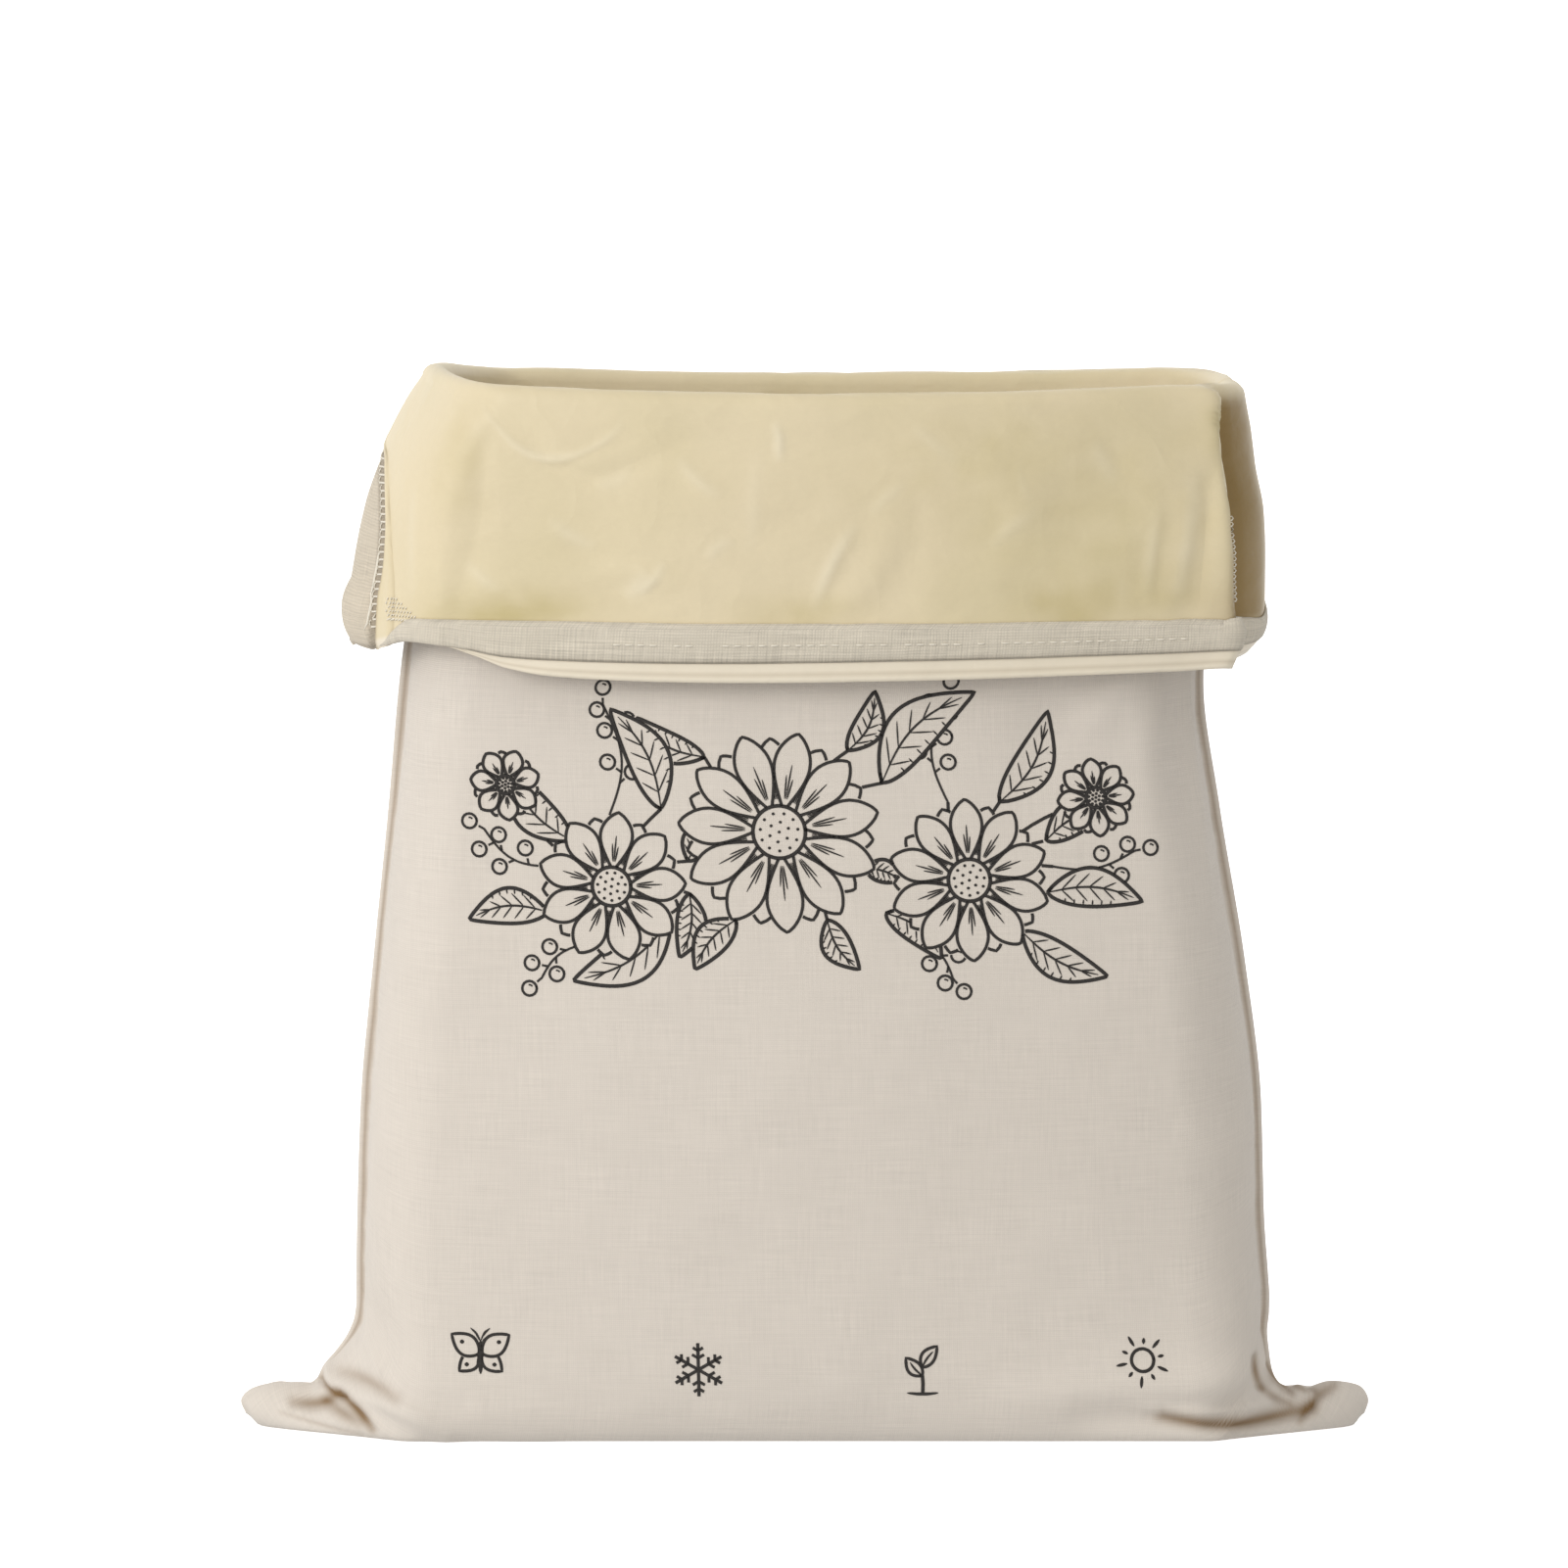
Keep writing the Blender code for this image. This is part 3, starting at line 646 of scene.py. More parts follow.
# The lining's hem beside its open seam, in shares of the hem's width.
HEM_LIFT = 0.7
HEM_END = (0.75, 1.05)
HEM_STITCHED = 1.08  # where its stitches pull it in
HEM_PULL = 0.35
HEM_PULL_WIDTH = 0.12


def with_rolled_corner(sheet):
    """The linen with its corner at the cuff's left end round and rolled under."""
    points = sheet.points.copy()
    cuff = points[sheet.first_cuff :]
    fallen = np.clip((CORNER_TOP - cuff[:, :, 2]) / CORNER_HIGH, 0, 1)
    weight = 1 - ease(*CORNER_X, cuff[:, :, 0])
    bulge = CORNER_BULGE * np.sin(np.pi * fallen) - CORNER_TUCK * ease(*CORNER_TUCKED, fallen)
    bulge *= ease(*CORNER_START, sheet.seam[sheet.first_cuff :])
    cuff -= sheet.normals[sheet.first_cuff :] * (weight * bulge)[:, :, None]
    cuff[:, :, 2] -= CORNER_DROP * weight * ease(0.5, 1.0, fallen)
    points[:, :, 1] = np.minimum(points[:, :, 1], -SEAM_Y)
    return sheet._replace(points=points, normals=normals_of(points))


def hem_share(sheet):
    """How far over the hem each point of the lining is, from 0 at its edge to 1 at its end."""
    heights, _, hems = zip(*SLIT_LINE)
    return sheet.seam / smooth_through(heights, hems, sheet.points[:, :, 2])


def left_cuff(sheet):
    """1 on the left half of the panel's cuff, and 0 elsewhere."""
    near = np.zeros(sheet.seam.shape)
    near[sheet.first_cuff :, : near.shape[1] // 2] = 1
    return near


def by_open_seam(sheet):
    """How open the lining's seam is beside each point, from 0 to 1."""
    return left_cuff(sheet) * (1 - ease(SLIT_TOP - SLIT_EASE, SLIT_TOP, sheet.points[:, :, 2]))


def with_hem(sheet):
    """The lining with its left edge turned under in a hem, on the cuff."""
    share = hem_share(sheet)
    pull = HEM_PULL * np.exp(-(((share - HEM_STITCHED) / HEM_PULL_WIDTH) ** 2))
    lift = (HEM_LIFT * (1 - ease(*HEM_END, share)) - pull) * by_open_seam(sheet)
    points = sheet.points - sheet.normals * lift[:, :, None]
    return sheet._replace(points=points, normals=normals_of(points))


def layer(sheet, distance):
    """The same sheet so far in from the linen's middle."""
    moved = sheet.points - sheet.normals * distance
    moved[:, :, 1] = np.minimum(moved[:, :, 1], -SEAM_Y)
    return sheet._replace(points=moved)


# ---------------------------------------------------------------------------------------------
# Meshes
# ---------------------------------------------------------------------------------------------

UV = "cloth"


def to_back(grid):
    """The front panel's points, mirrored to the back."""
    return grid * np.array([1, -1, 1])


def add_object(name, data):
    """A new object in the scene."""
    made = bpy.data.objects.new(name, data)
    bpy.context.scene.collection.objects.link(made)
    return made


def mesh_object(name, points, faces, material, thick=0.0, side=0):
    """A mesh of points in millimetres. side: 0 thickens it both ways, 1 outwards."""
    mesh = bpy.data.meshes.new(name)
    mesh.from_pydata((np.asarray(points) * MM).tolist(), [], faces)
    mesh.shade_smooth()
    mesh.materials.append(material)
    made = add_object(name, mesh)
    if thick:
        modifier = made.modifiers.new("thickness", "SOLIDIFY")
        modifier.thickness = thick * MM
        modifier.offset = side
    return made


def sheet_object(name, sheet, material, back, thick):
    """A sheet as a mesh, with its place on the flat cloth, in metres, as its UV map."""
    points, across, run = sheet.points, sheet.across, sheet.run
    if back:
        points, across, run = to_back(points)[:, ::-1], -across[:, ::-1], run[:, ::-1]
    high, wide = points.shape[:2]
    index = np.arange(high * wide).reshape(high, wide)
    corners = [index[:-1, :-1], index[:-1, 1:], index[1:, 1:], index[1:, :-1]]
    faces = np.stack(corners, axis=-1).reshape(-1, 4).tolist()
    made = mesh_object(name, points.reshape(-1, 3), faces, material, thick, 0)
    places = np.stack([across, run], axis=-1).reshape(-1, 2) * MM
    used = np.zeros(len(made.data.loops), np.int32)
    made.data.loops.foreach_get("vertex_index", used)
    cloth = made.data.uv_layers.new(name=UV)
    cloth.data.foreach_set("uv", places[used].astype(np.float32).ravel())
    return made


def add_attribute(made, name, values, back):
    """A number at each point of a sheet, for its material."""
    if back:
        values = values[:, ::-1]
    attribute = made.data.attributes.new(name, "FLOAT", "POINT")
    attribute.data.foreach_set("value", np.ascontiguousarray(values, np.float32).ravel())


def finish_piece(made, slot, *nodes):
    """The piece rides on the bag and stands for the nodes; its slot is not used."""
    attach(made, "root")
    if nodes:
        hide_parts(*nodes)
    return made


# ---------------------------------------------------------------------------------------------
# Materials
# ---------------------------------------------------------------------------------------------


FACET_BEND = 0.035  # metres by which noise bends the edges of a facet


class Nodes:
    """Short calls that add nodes to a material."""

    def __init__(self, name):
        self.material = bpy.data.materials.new(name)
        self.material.use_nodes = True
        self.tree = self.material.node_tree
        self.shader = self.tree.nodes["Principled BSDF"]

    def node(self, kind, **inputs):
        """A node with its named inputs set or linked."""
        made = self.tree.nodes.new(kind)
        for key, value in inputs.items():
            self.put(made.inputs[key.replace("_", " ")], value)
        return made

    def put(self, socket, value):
        """Links the socket to another node's output, or sets it to a number or colour."""
        if isinstance(value, bpy.types.NodeSocket):
            self.tree.links.new(value, socket)
        else:
            socket.default_value = value

    def filled(self, kind, operation, *values):
        """The result of a maths node with its inputs set or linked in order."""
        made = self.tree.nodes.new(kind)
        made.operation = operation
        for socket, value in zip(made.inputs, values):
            self.put(socket, value)
        return made.outputs[0]

    def finish(self, **inputs):
        """Sets or links the shader's named inputs, and gives the material."""
        for key, value in inputs.items():
            self.put(self.shader.inputs[key.replace("_", " ")], value)
        return self.material

    def math(self, operation, a, b=0.0, c=0.0):
        return self.filled("ShaderNodeMath", operation, a, b, c)

    def uv(self):
        made = self.tree.nodes.new("ShaderNodeUVMap")
        made.uv_map = UV
        return made.outputs[0]

    def scaled(self, vector, x, y):
        return self.node("ShaderNodeMapping", Vector=vector, Scale=(x, y, 1.0)).outputs[0]

    def noise(self, vector, scale, detail=2.0, rough=0.5):
        wanted = {"Vector": vector, "Scale": scale, "Detail": detail, "Roughness": rough}
        return self.node("ShaderNodeTexNoise", **wanted).outputs["Fac"]

    def centred(self, value, middle=0.5):
        """The value less its middle, so that it goes both ways from 0."""
        return self.math("SUBTRACT", value, middle)

    def facets(self, vector, scale):
        """Flat-sided dents like those of crumpled paper."""
        bent = self.node("ShaderNodeTexNoise", Vector=vector, Scale=scale * 1.6, Detail=3.0)
        bend = (FACET_BEND, FACET_BEND, 0)
        place = self.filled(
            "ShaderNodeVectorMath", "MULTIPLY_ADD", bent.outputs["Color"], bend, vector
        )
        made = self.node("ShaderNodeTexVoronoi", Vector=place, Scale=scale)
        return self.math("POWER", made.outputs["Distance"], 1.6)

    def ridges(self, vector, scale, sharp):
        """Thin wandering ridges."""
        level = self.math("MULTIPLY_ADD", self.noise(vector, scale, 1.0), 2.0, -1.0)
        return self.math("POWER", self.math("SUBTRACT", 1.0, self.math("ABSOLUTE", level)), sharp)

    def crease(self, vector, line):
        """A thin bowed line on the cloth, 1 in its middle and 0 away from it."""
        along = line.end - line.start
        place = self.node(
            "ShaderNodeMapping",
            Vector=vector,
            Location=(*(line.start + line.end) * MM / 2, 0),
            Rotation=(0, 0, math.atan2(along[1], along[0])),
            Scale=(np.hypot(*along) * MM / 2, line.width * MM, 1),
        )
        place.vector_type = "TEXTURE"
        split = self.node("ShaderNodeSeparateXYZ", Vector=place.outputs[0])
        square = self.math("MULTIPLY", split.outputs["X"], split.outputs["X"])
        fade = self.math("MAXIMUM", self.math("SUBTRACT", 1.0, square), 0.0)
        away = self.math("MULTIPLY_ADD", fade, -line.bow / line.width, split.outputs["Y"])
        away = self.math("MULTIPLY", away, away)
        thin = self.math("EXPONENT", self.math("MULTIPLY", away, -1.0))
        return self.math("MULTIPLY", self.math("MULTIPLY", thin, fade), line.out)

    def attribute(self, name):
        """A number that the mesh has at each point."""
        made = self.tree.nodes.new("ShaderNodeAttribute")
        made.attribute_name = name
        return made.outputs["Fac"]

    def mix(self, share, a, b):
        """A colour between a and b."""
        made = self.tree.nodes.new("ShaderNodeMix")
        made.data_type = "RGBA"
        self.put(made.inputs["Factor"], share)
        self.put(made.inputs["A"], a)
        self.put(made.inputs["B"], b)
        return made.outputs["Result"]

    def brighten(self, colour, by):
        """The colour times a number."""
        made = self.tree.nodes.new("ShaderNodeVectorMath")
        made.operation = "SCALE"
        self.put(made.inputs[0], colour)
        self.put(made.inputs["Scale"], by)
        return made.outputs[0]

    def bump(self, height, distance, strength=1.0, normal=None):
        """A normal from a height, over another bump's normal where one is given."""
        made = self.node("ShaderNodeBump", Strength=strength, Distance=distance, Height=height)
        if normal is not None:
            self.put(made.inputs["Normal"], normal)
        return made.outputs[0]


def linear(value):
    """The linear light of an sRGB value of 0 to 255."""
    share = value / 255
    return share / 12.92 if share <= 0.04045 else ((share + 0.055) / 1.055) ** 2.4


def rgba(r, g, b):
    """A colour from sRGB values of 0 to 255."""
    return (linear(r), linear(g), linear(b), 1.0)


# A woven cloth: its colour, its painted shade's colour, the width of a thread in millimetres, how
# much the weave, the slubs and the mottling change its lightness, and its relief in millimetres.
Linen = namedtuple("Linen", "colour dark thread weave slub mottle bump")

LINEN = Linen(rgba(218, 209, 198), rgba(128, 98, 58), 0.6, 0.07, 0.13, 0.07, 0.09)
INSIDE = Linen(rgba(206, 194, 174), rgba(118, 102, 78), 0.9, 0.20, 0.34, 0.20, 0.22)
BAND = Linen(rgba(210, 201, 184), rgba(110, 98, 78), 0.9, 0.14, 0.40, 0.20, 0.22)

# The scales of the linen's noises, in cycles to a metre.
WANDER_SCALE = 130
SLUB_LONG, SLUB_THIN = (55, 70), 1300  # of weft and warp along a slub, and of both across it
SLUB_PATCHES = 62
LINEN_MOTTLE = 38
WANDER = 0.9  # how far a thread wanders, in threads
WEAVE_MIDDLE = 0.64  # the weave's mean height

LINING_CREAM = rgba(221, 206, 172)
HEADER_CREAM = rgba(230, 219, 198)
OLIVE_TINT = rgba(204, 192, 146)
# The wax's wear with painted highlight: the paler colour of the lining's crease ridges.
PALE_WEAR_AND_HIGHLIGHT = rgba(240, 231, 208)  # on the ridges of creases
STAIN_AND_SHADE_OLIVE = rgba(184, 168, 110)
# Painted shade: the brown that the lining's creases, hem, header fold and the flap's groove darken
# to.
PAINTED_SHADE_BROWN = rgba(122, 92, 10)
LINING_MOTTLE = 24  # the scales of the lining's noises, in cycles to a metre
OLIVE_SCALE = 13
CRUMPLE_PATCHES = 21
PALE_SHARE = 0.34  # how pale a ridge is
OLIVE_SHARE = 0.55  # how olive the strongest mottling is

# A relief of the lining: its scale in cycles to a metre, its depth in millimetres and strength.
Relief = namedtuple("Relief", "scale depth strength")

SOFT_WAVES = Relief(75, 1.0, 0.5)
FACETS = Relief(30, 1.5, 0.4)
CRUMPLE = Relief(33, 0.5, 0.5)
CREASE_RELIEF = Relief(None, 0.7, 0.8)
GRAIN = Relief(420, 0.05, 0.5)


def weave_height(n, uv, thread):
    """Plain weave: rounded thread crossings, with threads that wander a little."""
    wander = n.math("MULTIPLY", n.centred(n.noise(uv, WANDER_SCALE, 1.0)), WANDER)
    split = n.node("ShaderNodeSeparateXYZ", Vector=n.scaled(uv, 1 / thread, 1 / thread))
    waves = []
    for axis in ("X", "Y"):
        place = n.math("ADD", split.outputs[axis], wander)
        waves.append(n.math("ABSOLUTE", n.math("SINE", n.math("MULTIPLY", place, math.pi))))
    return n.math("POWER", n.math("MULTIPLY", *waves), 0.5)


def linen_material(name, look):
    """Matt woven linen with slubs along both threads, with painted shade in its creases."""
    n = Nodes(name)
    uv = n.uv()
    weave = weave_height(n, uv, look.thread * MM)
    weft = n.noise(n.scaled(uv, SLUB_LONG[0], SLUB_THIN), 1.0)
    warp = n.noise(n.scaled(uv, SLUB_THIN, SLUB_LONG[1]), 1.0)
    mottle = n.noise(uv, LINEN_MOTTLE, 3.0, 0.6)
    patches = n.math("MULTIPLY_ADD", n.noise(uv, SLUB_PATCHES), 3.0, -0.5)
    slubs = n.math("MULTIPLY", n.math("ADD", n.centred(weft), n.centred(warp)), patches)
    level = n.math("MULTIPLY_ADD", slubs, look.slub, 1.0)
    level = n.math("MULTIPLY_ADD", n.centred(weave, WEAVE_MIDDLE), look.weave, level)
    level = n.math("MULTIPLY_ADD", n.centred(mottle), look.mottle, level)
    # Painted shade: the crease attribute darkens the colour towards the cloth's shade colour.
    tone = n.mix(n.attribute("crease"), look.colour, look.dark)
    height = n.math("MULTIPLY_ADD", slubs, 0.7, weave)
    return n.finish(
        Base_Color=n.brighten(tone, level),
        Roughness=0.88,
        Sheen_Weight=0.12,
        Sheen_Roughness=0.5,
        Normal=n.bump(height, look.bump * MM, 0.6),
    )


def lining_material(creases):
    """Smooth waxed cloth with a soft sheen, paler on crease ridges (wear and painted highlight),
    mottled, stained, with painted shade.
    """
    n = Nodes("waxed_lining")
    uv = n.uv()
    mottle = n.noise(uv, LINING_MOTTLE, 3.0, 0.6)
    fine = n.noise(uv, GRAIN.scale, 2.0, 0.6)
    soft = n.noise(n.scaled(uv, 1.0, 1.6), SOFT_WAVES.scale, 3.0, 0.55)
    header = n.attribute("header")
    lines = 0.0
    for line in creases:
        lines = n.math("ADD", n.crease(uv, line), lines)
    # The ridges made paler: the wax's wear with painted highlight.
    pale = n.math("MULTIPLY", n.math("MAXIMUM", lines, 0.0), PALE_SHARE)
    olive = n.math("MULTIPLY_ADD", n.noise(uv, OLIVE_SCALE), 2.4, -1.0)
    olive = n.math("MAXIMUM", olive, 0.0)
    olive = n.math("MULTIPLY", olive, n.math("SUBTRACT", OLIVE_SHARE, header))
    tone = n.mix(header, LINING_CREAM, HEADER_CREAM)
    tone = n.mix(n.math("MAXIMUM", olive, 0.0), tone, OLIVE_TINT)
    tone = n.mix(pale, tone, PALE_WEAR_AND_HIGHLIGHT)
    # Stains, and one patch of painted shade on the cuff's right part.
    tone = n.mix(n.attribute("stain_and_shade"), tone, STAIN_AND_SHADE_OLIVE)
    # Painted shade from the crease attribute: creases, hem, header fold and the flap's groove.
    tone = n.mix(n.attribute("crease"), tone, PAINTED_SHADE_BROWN)
    level = n.math("MULTIPLY_ADD", n.centred(mottle), 0.10, 1.0)
    level = n.math("MULTIPLY_ADD", n.centred(fine), 0.05, level)
    patches = n.noise(uv, CRUMPLE_PATCHES, 1.0)
    crumple = n.math("MULTIPLY", n.ridges(uv, CRUMPLE.scale, 9.0), patches)
    normal = None
    for height, relief in (
        (soft, SOFT_WAVES),
        (n.facets(uv, FACETS.scale), FACETS),
        (crumple, CRUMPLE),
        (lines, CREASE_RELIEF),
        (fine, GRAIN),
    ):
        normal = n.bump(height, relief.depth * MM, relief.strength, normal)
    return n.finish(
        Base_Color=n.brighten(tone, level),
        Roughness=n.math("MULTIPLY_ADD", mottle, 0.16, 0.42),
        Sheen_Weight=0.05,
        Normal=normal,
    )


def plain_material(name, colour, roughness):
    """One colour with a fine speckle."""
    n = Nodes(name)
    speck = n.noise(n.node("ShaderNodeTexCoord").outputs["Object"], 900)
    level = n.math("MULTIPLY_ADD", n.centred(speck), 0.25, 1.0)
    return n.finish(Base_Color=n.brighten(colour[:3], level), Roughness=roughness)


# ---------------------------------------------------------------------------------------------
# The pieces
# ---------------------------------------------------------------------------------------------

# A soft olive patch of the lining, a stain except for one row of painted shade: where, how wide and
# high, and how strong.
StainAndShade = namedtuple("StainAndShade", "across z wide high strength")

STAINS_AND_SHADE = [
    StainAndShade(-106, 256, 22, 6, 0.75),
    StainAndShade(-88, 259, 12, 5, 0.45),
    StainAndShade(-12, 256, 16, 6, 0.50),
    StainAndShade(69, 257, 13, 8, 0.60),
    StainAndShade(118, 312, 9, 7, 0.75),
    StainAndShade(-119, 300, 8, 16, 0.35),
    StainAndShade(96, 262, 20, 9, 0.35),
    StainAndShade(20, 290, 40, 20, 0.12),
    # Painted shade: the right part of the cuff's lining darkened, as less light falls there.
    StainAndShade(86, 288, 46, 34, 0.28),
    StainAndShade(40, 306, 26, 12, 0.20),
]


# A thin crease of the front lining on the cuff: a ridge painted pale, partly as the wax's wear and
# partly as painted highlight, or a trough where out is negative.
# bow: how far its middle is pushed down, for a line that runs to the right.
Crease = namedtuple("Crease", "x0 z0 x1 z1 bow width out")
ClothLine = namedtuple("ClothLine", "start end bow width out")

CREASES = [
    Crease(-99.6, 320.3, -54.6, 315.8, 14, 1.8, 1),
    Crease(-98, 317, -58, 312.6, 14, 4, -0.5),
    Crease(-57, 261, -46.2, 269.4, 0, 3, 0.8),
    Crease(-50, 262, -44, 272.4, 1, 1.7, 0.6),
    Crease(-10.2, 316, -8.6, 302.8, 0.5, 1.7, 0.9),
    Crease(-15, 308, -17, 272, -1, 2.3, 0.3),
    Crease(15.4, 284.7, 2.4, 256.2, 1, 2.3, 1),
    Crease(20, 282, 8, 257, 1, 4.7, -0.5),
    Crease(20, 286, 34, 297, -1, 2, 0.5),
    Crease(-78.6, 285.7, -64.6, 277.2, 1, 2.2, 0.5),
    Crease(-38.6, 304.7, -25.1, 292.2, 1, 1.8, 0.5),
    Crease(-66, 296, -52, 301, 1.5, 2.5, 0.4),
    Crease(-32, 272, -20, 280, -1, 2, 0.5),
    Crease(32.4, 315, 50, 303, 1.2, 2, 0.5),
    Crease(58, 276, 74, 288, -2, 2.2, 0.5),
    Crease(64, 304, 70, 290, 0.6, 1.8, 0.4),
    Crease(88, 310, 96, 296, 1, 2.3, 0.5),
    Crease(110.4, 290.7, 105, 256.7, 0.8, 2.5, 0.9),
    Crease(118.9, 302.7, 110.4, 254.7, -1, 2.8, 0.8),
    Crease(114, 298, 107.6, 256, 0, 4, -0.7),
    Crease(124, 306, 126, 255, 0, 6.1, 0.35),
    Crease(-118, 300, -120, 260, 1, 2.3, 0.4),
    Crease(-104, 272, -92, 262, 1, 2, 0.5),
]


def on_cloth(sheet, x, z):
    """The place on the flat cloth of the cuff's point nearest to x and z."""
    cuff = sheet.points[sheet.first_cuff :]
    away = np.hypot(cuff[:, :, 0] - x, cuff[:, :, 2] - z)
    row, column = np.unravel_index(np.argmin(away), away.shape)
    row += sheet.first_cuff
    return np.array([sheet.across[row, column], sheet.run[row, column]])


def cloth_lines(sheet):
    """The table's creases as lines on the flat cloth."""
    return [
        ClothLine(on_cloth(sheet, c.x0, c.z0), on_cloth(sheet, c.x1, c.z1), c.bow, c.width, c.out)
        for c in CREASES
    ]


# How strong the painted shade of creases and seams is: for each millimetre of a foot crease's
# depth, in the root of the side seams' lip, beside and between the stitches of the open seam, on
# and beside the hem's edge, and in the header's fold.
FOOT_SHADE = 0.50
LIP_SHADE = 0.55
LIP_SHADE_AT = 0.62  # of the lip's width
LIP_SHADE_WIDTH = 0.8
LIP_SHADE_FROM = (16, 30)  # the heights over which it begins
# Painted shade in the slit at the lining's edge and between the ladder stitches.
SLIT_SHADE = 0.60
SLIT_SHADE_WIDTH = 0.6
LADDER_SHADE = 0.55
LADDER_SHADE_FROM = (0.2, 0.9)  # from the lining's edge
LADDER_SHADE_TO = (3.2, 4.2)
# Painted shade along the hem's edge, where its stitches pull it in, and in the header's fold.
HEM_SHADE = 0.45
HEM_SHADE_WIDTH = 0.07
HEM_STITCH_SHADE = 0.25
HEM_STITCH_WIDTH = 0.10
HEADER_SHADE = 0.22
HEADER_SHADE_ROW = 2  # rows under the casing
# These two act alike on the stains and on the patch of painted shade.
STAIN_AND_SHADE_INSIDE = 0.3  # of a stain's strength, on the wall
RAGGED = Wave(0.5, 7.0, 31)  # the stains' unevenness about RAGGED_MEAN
RAGGED_MEAN = 0.75

# The painted shade in the groove behind the front flap: where it begins from the front and the
# left, how it fades towards the side seam, and where it begins under the rim and ends over the
# casing.
RECESS_Y = (-63, -58)
RECESS_X = (116, 120)
RECESS_FADE = (-34, -3)
RECESS_UNDER_RIM = (-5, 1)
RECESS_FOOT = (250, 254)
RECESS_SOFT = 0.15  # how much weaker it is behind RECESS_BEHIND
RECESS_BEHIND = (-50, -30)


def seam_shade(sheet):
    """Painted shade between the stitches beside the lining's open seam and along its edge, on the
    cuff's linen.
    """
    away = slit_x(sheet.points[:, :, 2]) - sheet.points[:, :, 0]
    shade = LADDER_SHADE * ease(*LADDER_SHADE_FROM, away) * (1 - ease(*LADDER_SHADE_TO, away))
    shade += SLIT_SHADE * np.exp(-((away / SLIT_SHADE_WIDTH) ** 2))
    return shade * left_cuff(sheet)


def foot_shade(sheet, folds):
    """Painted shade in the ears' creases and in the root of the side seams' lip."""
    line = np.exp(-(((sheet.seam - LIP * LIP_SHADE_AT) / LIP_SHADE_WIDTH) ** 2))
    shade = LIP_SHADE * line * ease(*LIP_SHADE_FROM, sheet.points[:, :, 2])
    for fold in folds:
        if fold.on == "foot" and fold.out < 0:
            near = near_fold(fold, sheet.points[:, :, 0], sheet.points[:, :, 2])
            shade += FOOT_SHADE * -fold.out * near
    shade[sheet.first_rim :] = 0
    return shade


def make_linen(side, sheet, folds, material, inside):
    """A linen panel. Its cuff shows the cloth's rougher inner face."""
    back = side == "back"
    made = sheet_object(f"linen_{side}_sheet", sheet, material, back, LINEN_THICK)
    made.data.materials.append(inside)
    slots = np.zeros((sheet.points.shape[0] - 1, sheet.points.shape[1] - 1), np.int32)
    slots[sheet.first_cuff :] = 1
    made.data.polygons.foreach_set("material_index", slots.ravel())
    # Painted shade in the ears' creases, in the lip's root and beside the open seam.
    crease = foot_shade(sheet, folds)
    if not back:
        crease += seam_shade(sheet)
    add_attribute(made, "crease", np.clip(crease, 0, 1), back)
    return finish_piece(made, "linen", f"linen_{side}")


def stain_and_shade_of(sheet):
    """How stained each point of the lining is, with one patch of painted shade, all with ragged
    edges.
    """
    height = sheet.points[:, :, 2]
    total = np.zeros(height.shape)
    for stain_and_shade in STAINS_AND_SHADE:
        away = ((sheet.across - stain_and_shade.across) / stain_and_shade.wide) ** 2
        away += ((height - stain_and_shade.z) / stain_and_shade.high) ** 2
        total += stain_and_shade.strength * np.exp(-away)
    total[: sheet.first_rim] *= STAIN_AND_SHADE_INSIDE
    ragged = RAGGED.out * cloth_noise(sheet.across, sheet.run, RAGGED.size, RAGGED.seed)
    return np.clip(total * (RAGGED_MEAN + ragged), 0, 1)


def recess_shade(sheet):
    """How much painted shade the lining has in the groove behind the front flap, most beside the
    flap.
    """
    shade = np.zeros(sheet.points.shape[:2])
    first = sheet.first_cuff - RIM_STEPS // 2
    x, y, height = (sheet.points[:, :, k] for k in range(3))
    behind = ease(*RECESS_Y, y) * ease(*RECESS_X, x)
    shade[first:] = (behind * (1 - RECESS_SOFT * ease(*RECESS_BEHIND, y)))[first:]
    shade *= ease(*RECESS_UNDER_RIM, height[sheet.first_cuff, -1] - height)
    return shade * ease(*RECESS_FOOT, height) * (1 - ease(*RECESS_FADE, y))


def make_lining(side, sheet, material):
    """A lining panel, with the cream header below the casing."""
    back = side == "back"
    made = sheet_object(f"lining_{side}_sheet", sheet, material, back, LINING_THICK)
    share = hem_share(sheet)
    # Painted shade along the hem and its stitches, in the flap's groove and in the header's fold.
    crease = HEM_STITCH_SHADE * np.exp(-(((share - HEM_STITCHED) / HEM_STITCH_WIDTH) ** 2))
    crease += HEM_SHADE * np.exp(-((share / HEM_SHADE_WIDTH) ** 2))
    crease *= by_open_seam(sheet)
    if not back:
        crease += recess_shade(sheet)
    header_row = sheet.first_cuff + CUFF_STEPS + CASING_STEPS
    crease[header_row + HEADER_SHADE_ROW] += HEADER_SHADE
    header = np.zeros(crease.shape)
    header[header_row - 1 :] = 1
    add_attribute(made, "stain_and_shade", stain_and_shade_of(sheet), back)
    add_attribute(made, "header", header, back)
    add_attribute(made, "crease", np.clip(crease, 0, 1), back)
    return finish_piece(made, "lining", f"lining_{side}")


def between_rows(values, at):
    """A grid's values at fractional row numbers, one list of them for each column."""
    low = np.clip(at.astype(int), 0, len(values) - 2)
    share = (at - low).reshape(at.shape + (1,) * (values.ndim - 2))
    columns = np.arange(at.shape[1])[None, :]
    return values[low, columns] * (1 - share) + values[low + 1, columns] * share


CASING_ROWS = 13
CASING_LIFT = 0.55  # how far its edges stand off the lining's middle
CASING_FULL = 1.0  # how much further its middle does
